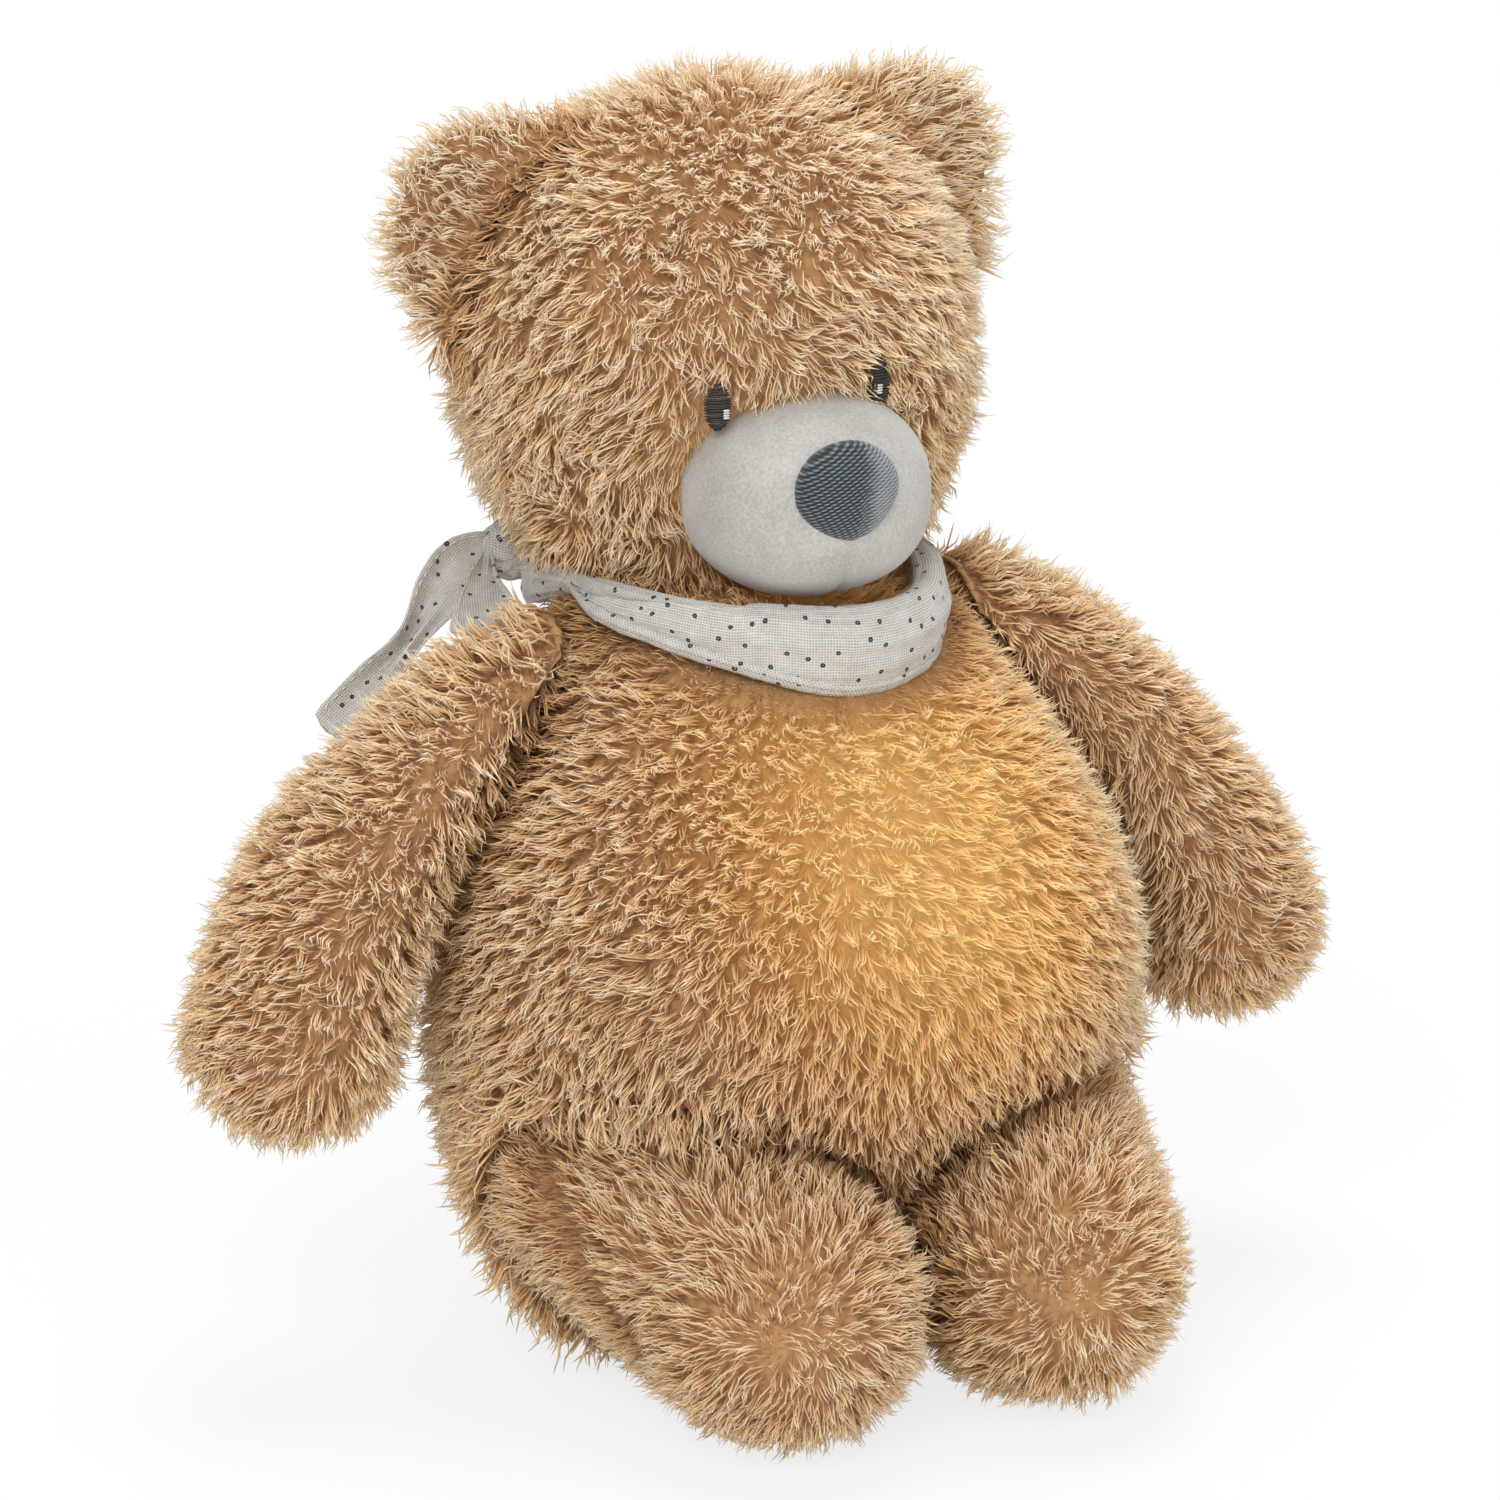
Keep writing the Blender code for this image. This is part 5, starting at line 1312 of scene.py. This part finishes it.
def make_knot():
    """The knot: one end wrapped over the other, with the cloth gathered on both sides."""
    axis = Vector((-0.22, -0.975, 0.0)).normalized()
    up = Vector((0.15, -0.05, 1.0)).normalized()
    side = axis.cross(up).normalized()
    up = side.cross(axis)

    def place(latitude, longitude):
        a = math.cos(latitude)
        bulge = math.sin(latitude) ** 0.8
        wrap = 0.12 if abs(a) < 0.44 else 0.0
        groove = -0.16 * math.exp(-(((abs(a) - 0.50) / 0.07) ** 2))
        pleats = 0.07 * math.sin(8 * longitude + 4 * a) * (1.0 if abs(a) > 0.5 else 0.25)
        crease = 0.05 * math.sin(3 * longitude + 14 * a) * (1.0 if abs(a) < 0.44 else 0.0)
        r = KNOT_RADIUS * bulge * (1 + wrap + groove + pleats + crease)
        return (
            KNOT + axis * (KNOT_HALF_LENGTH * a) + (side * math.cos(longitude) + up * math.sin(longitude)) * r
        )

    rings, segments = ((56, 80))
    mesh = shell_grid("neckerchief_knot_cloth", rings, segments, place)
    turn = Matrix((side, axis, up)).transposed().to_4x4()
    map_flat(mesh, Matrix.Translation(KNOT) @ turn)
    mesh.materials.append(LOOKS["muslin"])
    mesh.shade_smooth()
    obj = new_object("neckerchief_knot_cloth", mesh)
    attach(obj, "torso")
    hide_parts("neckerchief_knot")


# ---- Stitches ----


def stitch_tree():
    """Geometry nodes that lay one stitch after another along a path."""
    inputs = [("Path", "Geometry"), ("Pitch", "Float"), ("Stitch", "Object"), ("Material", "Material")]
    maker, given = new_tree("sew_along", inputs, "Stitches")
    line = maker.add("GeometryNodeMeshToCurve", None, {"Mesh": given["Path"]})
    line = maker.add("GeometryNodeResampleCurve", {"mode": "LENGTH"}, {"Curve": line, "Length": given["Pitch"]})
    tangent = maker.add("GeometryNodeInputTangent")
    lift = maker.add("GeometryNodeInputNamedAttribute", {"data_type": "FLOAT_VECTOR"}, {"Name": "lift"})
    axes = {"primary_axis": "X", "secondary_axis": "Z"}
    turn = maker.add("FunctionNodeAxesToRotation", axes, [tangent, lift])
    stitch = maker.add("GeometryNodeObjectInfo", None, {"Object": given["Stitch"]}, 4)
    sewn = maker.add(
        "GeometryNodeInstanceOnPoints", None, {"Points": line, "Instance": stitch, "Rotation": turn}
    )
    sewn = maker.add("GeometryNodeRealizeInstances", None, {"Geometry": sewn})
    return end_tree(maker, sewn, given["Material"])


def thread_mesh(name, points, radius, sides=6):
    """A thread along points, closed and rounded off at both ends."""
    shape = bmesh.new()
    add_thread(shape, points, radius, sides)
    mesh = mesh_from(name, shape)
    return mesh


def add_thread(shape, points, radius, sides=6):
    """Adds a thread along points to a bmesh."""
    count = len(points)
    rings = []
    for i, point in enumerate(points):
        along = (points[min(i + 1, count - 1)] - points[max(i - 1, 0)]).normalized()
        side = along.cross(Vector((0.3, 0.2, 1.0))).normalized()
        other = along.cross(side)
        wide = radius * (0.45 if i in (0, count - 1) else 1.0)
        turns = [2 * math.pi * k / sides for k in range(sides)]
        rings.append(
            [shape.verts.new(point + (side * math.cos(t) + other * math.sin(t)) * wide) for t in turns]
        )
    for first, second in zip(rings, rings[1:]):
        for k in range(sides):
            shape.faces.new((first[k], first[k - 1], second[k - 1], second[k]))
    shape.faces.new(rings[0])
    shape.faces.new(rings[-1][::-1])


def sewn_stitches(name, paths, lifts, pitch, length, look):
    """Stitches along several paths, as one object."""
    mesh = bpy.data.meshes.new(f"{name}_paths")
    points, edges, rises = [], [], []
    for path, lift in zip(paths, lifts):
        edges += [(len(points) + k, len(points) + k + 1) for k in range(len(path) - 1)]
        points += [tuple(point) for point in path]
        rises += [tuple(way) for way in lift]
    mesh.from_pydata(points, edges, [])
    put_attribute(mesh, "lift", np.array(rises))
    arch = [
        Vector((length * (t - 0.5), 0, 0.00022 * math.sin(math.pi * t) - 0.0001)) for t in (0, 0.2, 0.5, 0.8, 1)
    ]
    stitch = bpy.data.objects.new("one_stitch", thread_mesh("one_stitch", arch, 0.00020))
    carrier = new_object(f"{name}_carrier", mesh)
    modifier = carrier.modifiers.new("sewn", "NODES")
    modifier.node_group = SEWING
    for key, value in {"Pitch": pitch, "Stitch": stitch, "Material": look}.items():
        set_input(modifier, key, value)
    made = baked(carrier)
    made.name = name
    bpy.data.objects.remove(stitch)
    made.materials.clear()
    made.materials.append(look)
    return new_object(name, made)


# ---- Face ----


def direction(latitude, longitude):
    """The way at an angle off the Z axis and a turn round it."""
    off = math.sin(latitude)
    return Vector((off * math.cos(longitude), off * math.sin(longitude), math.cos(latitude)))


def round_off(direction, radii, power):
    """The point of a rounded block with these half sizes in a direction."""
    total = sum(abs(d / r) ** power for d, r in zip(direction, radii))
    return Vector(direction) / total ** (1 / power)


def make_muzzle():
    """The pale velour muzzle, with the seam that runs down from the nose."""

    def place(latitude, longitude):
        way = direction(latitude, longitude)
        point = round_off(way, MUZZLE_RADII, 2.25)
        seam = 0.0010 * math.exp(-((point.x / 0.0009) ** 2)) * max(0.0, -way.y) * (
            1.0 if point.z < -0.004 else 0.0
        )
        dimple = 0.0005 * crumple(point, 60.0, 9)
        point -= way * (seam - dimple)
        return HEAD_MATRIX @ (Vector(MUZZLE_CENTRE) + point)

    rings, segments = ((84, 120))
    mesh = shell_grid("muzzle_velour", rings, segments, place)
    soft_piece("muzzle_velour", mesh, LOOKS["velour"], "head", "muzzle")


def make_nose():
    """The woven nose patch, broad above and narrow below, with a slack fold."""
    tilt = Matrix.Rotation(math.radians(-7.0), 3, "Y")

    def place(latitude, longitude):
        way = direction(latitude, longitude).xzy
        point = round_off(way, NOSE_RADII, 2.2)
        t = point.z / NOSE_RADII[2]
        point.x *= 1.05 - 0.34 * max(0.0, -t) ** 1.6 - 0.10 * max(0.0, t) ** 2
        fold = math.exp(-(((point.x - 0.0030 - 0.25 * point.z) / 0.0011) ** 2)) * (
            1.0 if point.z < 0.001 else 0.0
        )
        point.y += 0.0009 * fold * max(0.0, -way.y)
        return HEAD_MATRIX @ (Vector(NOSE_CENTRE) + tilt @ point)

    rings, segments = ((60, 90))
    mesh = shell_grid("nose_patch", rings, segments, place)
    map_flat(mesh, HEAD_MATRIX @ Matrix.Translation(NOSE_CENTRE))
    soft_piece("nose_patch", mesh, LOOKS["nose"], "head", "nose")


def make_eye(side, word):
    """An eye of satin stitches laid side by side over its low middle, with a white catchlight."""
    low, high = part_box(f"eye_{word}")
    middle = (low + high) / 2 - Vector((EYE_SHIFT, 0, 0))
    out = Vector(((middle - HEAD_MATRIX.translation).x, (middle - HEAD_MATRIX.translation).y, 0)).normalized()
    up = Vector((0, 0, 1))
    across = up.cross(out).normalized()
    wide, deep, tall = EYE_RADII

    def spot(c, t, proud):
        height = math.sqrt(max(0.0, 1 - c * c - t * t))
        return middle + across * (wide * c) + up * (tall * t) + out * (
            0.55 * deep * height + proud - EYE_SINK[word]
        )

    shape = bmesh.new()
    white = bmesh.new()
    for k in range(EYE_ROWS):
        t = -0.95 + 1.9 * k / (EYE_ROWS - 1)
        reach = math.sqrt(1 - t * t)
        shift = 0.03 * crumple((k * 1.7, side, 0), 1.0, 12)
        points = [spot(c * reach, t + shift + 0.03 * c, 0.0003) for c in np.linspace(-1, 1, 9)]
        add_thread(shape, points, THREAD_RADIUS)
    for k in range(4):
        t = -0.42 + 0.11 * k
        start, end = (0.40, 0.86) if side < 0 else (-0.55, -0.10)
        points = [spot(start + (end - start) * c, t, 0.0008) for c in np.linspace(0, 1, 5)]
        add_thread(white, points, 0.8 * THREAD_RADIUS)
    for name, form, look, slot in (
        (f"eye_{word}_thread", shape, LOOKS["thread"], "eye_thread"),
        (f"eye_{word}_catchlight", white, LOOKS["thread_white"], "eye_thread"),
    ):
        mesh = bpy.data.meshes.new(name)
        bmesh.ops.recalc_face_normals(form, faces=form.faces)
        form.to_mesh(mesh)
        form.free()
        mesh.materials.append(look)
        mesh.shade_smooth()
        obj = new_object(name, mesh)
        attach(obj, "head")
        if name.endswith("thread"):
            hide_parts(f"eye_{word}")


# ---- Light and sound unit ----

NODE_LOOKS = {
    "hook_strip": "strip",
    "loop_strip": "strip",
    "pouch": "lining",
    "unit_case": "case",
    "battery_cover": "case",
    "cover_screw": "metal",
    "light_button": "button",
    "sound_button": "button",
    "light_switch": "dark",
    "sound_switch": "dark",
    "battery": "wrap",
    "battery_spring": "metal",
    "contact_plate": "metal",
    "circuit_board": "board",
    "lamp": "lens",
    "speaker_magnet": "metal",
    "speaker_basket": "metal",
    "speaker_cone": "dark",
    "light_diffuser": "diffuser",
}


def dress_unit():
    """Materials of the pieces inside the belly, which keep their CAD shapes."""
    for name, obj in frame["nodes"].items():
        for key in sorted(NODE_LOOKS, key=len, reverse=True):
            if name.startswith(key):
                obj.data.materials.clear()
                obj.data.materials.append(LOOKS[NODE_LOOKS[key]])
                break


# ---- Stage ----


def seen_directly(maker):
    """One for a ray from the camera, off a mirror or through a clear piece."""
    path = maker.add("ShaderNodeLightPath")
    kinds = [path.output(f"Is {kind} Ray") for kind in ("Camera", "Glossy", "Transmission")]
    return maker.math("MAXIMUM", maker.math("MAXIMUM", kinds[0], kinds[1]), kinds[2])


def make_stage():
    """Pale floor, soft light and the camera at the photograph's angle."""
    level = math.cos(VIEW_ELEVATION)
    aside, ahead = math.sin(VIEW_AZIMUTH) * level, math.cos(VIEW_AZIMUTH) * level
    back = Vector((aside, -ahead, math.sin(VIEW_ELEVATION)))
    camera = new_object("camera", bpy.data.cameras.new("camera"))
    camera.data.lens = LENS_MM
    camera.location = Vector(VIEW_TARGET) + back * VIEW_DISTANCE
    camera.rotation_mode = "QUATERNION"
    camera.rotation_quaternion = (-back).to_track_quat("-Z", "Y")
    camera.data.clip_start, camera.data.clip_end = 0.05, 50.0
    bpy.context.scene.camera = camera

    world = bpy.data.worlds.new("studio")
    bpy.context.scene.world = world
    world.use_nodes = True
    maker = Maker(world.node_tree)
    world.node_tree.nodes.clear()
    lit = maker.add("ShaderNodeBackground", None, {"Color": (0.96, 0.98, 1.0, 1.0), "Strength": 0.38})
    seen = maker.add("ShaderNodeBackground", None, {"Color": (1.0, 1.0, 1.0, 1.0), "Strength": 1.0})
    both = maker.add("ShaderNodeMixShader", None, [seen_directly(maker), lit, seen])
    end = world.node_tree.nodes.new("ShaderNodeOutputWorld")
    world.node_tree.links.new(both.socket, end.inputs["Surface"])

    lamps = (
        ("key", (-1.20, -1.55, 1.45), 1.3, 24.0, (1.0, 0.985, 0.965)),
        ("fill", (0.55, -2.0, 0.75), 1.6, 10.0, (0.98, 0.99, 1.0)),
        ("top", (0.2, 0.3, 2.1), 1.4, 18.5, (1.0, 1.0, 1.0)),
        ("rim", (0.9, 1.6, 1.2), 1.2, 6.8, (1.0, 1.0, 1.0)),
    )
    for name, spot, size, power, colour in lamps:
        data = bpy.data.lights.new(name, "AREA")
        data.shape = "DISK"
        data.size = size
        data.energy = power
        data.color = colour
        lamp = new_object(name, data)
        lamp.location = spot
        aim = Vector((0, 0, 0.13)) - Vector(spot)
        lamp.rotation_mode = "QUATERNION"
        lamp.rotation_quaternion = aim.to_track_quat("-Z", "Y")

    shape = bmesh.new()
    bmesh.ops.create_circle(shape, cap_ends=True, segments=64, radius=12.0)
    mesh = mesh_from("floor", shape)
    material, maker, surface = new_look("studio_floor")
    plug(maker, surface, Base_Color=(0.93, 0.93, 0.93), Roughness=0.9)
    glow = maker.add("ShaderNodeEmission", None, {"Color": (1.0, 1.0, 1.0, 1.0), "Strength": 1.0})
    matt = Wire(maker, surface.outputs[0])
    spot = maker.place()
    far = maker.add("ShaderNodeVectorMath", {"operation": "LENGTH"}, [spot], 1)
    bright = maker.add("ShaderNodeMapRange", {"interpolation_type": "SMOOTHSTEP"}, [far, 0.16, 0.50, 0.80, 1.0])
    mixed = maker.add("ShaderNodeMixShader", None, [seen_directly(maker) * bright, matt, glow])
    end = material.node_tree.nodes["Material Output"]
    material.node_tree.links.new(mixed.socket, end.inputs["Surface"])
    mesh.materials.append(material)
    new_object("floor", mesh)
    bpy.context.scene.view_settings.view_transform = "Standard"


LOOKS = {
    "fur": fur_look(),
    "backing": backing_look(),
    "velour": velour_look(),
    "nose": twill_look(),
    "thread": plain_look("eye_thread", linear(34, 31, 32), 0.45, 1800.0),
    "thread_white": plain_look("white_thread", linear(232, 230, 226), 0.6, 1800.0),
    "muslin": muslin_look(),
    "strip": plain_look("closure_strip", linear(168, 140, 107), 0.9, 1600.0, 0.0, 0.0006),
    "lining": plain_look("pouch_lining", linear(184, 163, 133), 0.9, 1200.0, 0.0, 0.0004),
    "case": plain_look("case_plastic", linear(224, 222, 217), 0.45),
    "diffuser": plain_look("diffuser_plastic", linear(238, 230, 214), 0.5),
    "button": plain_look("button_plastic", linear(115, 133, 143), 0.4),
    "board": plain_look("board_laminate", linear(26, 89, 46), 0.35, 700.0),
    "lens": plain_look("lamp_lens", linear(250, 230, 166), 0.1, 200.0),
    "dark": plain_look("dark_plastic", linear(24, 24, 24), 0.5),
    "wrap": plain_look("battery_wrap", linear(52, 57, 62), 0.3, 200.0),
    "metal": plain_look("contact_metal", linear(190, 190, 188), 0.3, 900.0, 1.0),
}
make_stage()
WISPS = strand_set()
FUR_TREE = fur_tree()
SEWING = stitch_tree()
make_head()
make_body()
for sign, word in ((1, "left"), (-1, "right")):
    make_arm(sign, word)
    make_leg(sign, word)
    make_ear(sign, word)
    make_eye(sign, word)
make_muzzle()
make_nose()
make_band()
make_knot()
make_ends()
dress_unit()
for helper in list(WISPS.objects):
    bpy.data.objects.remove(helper)
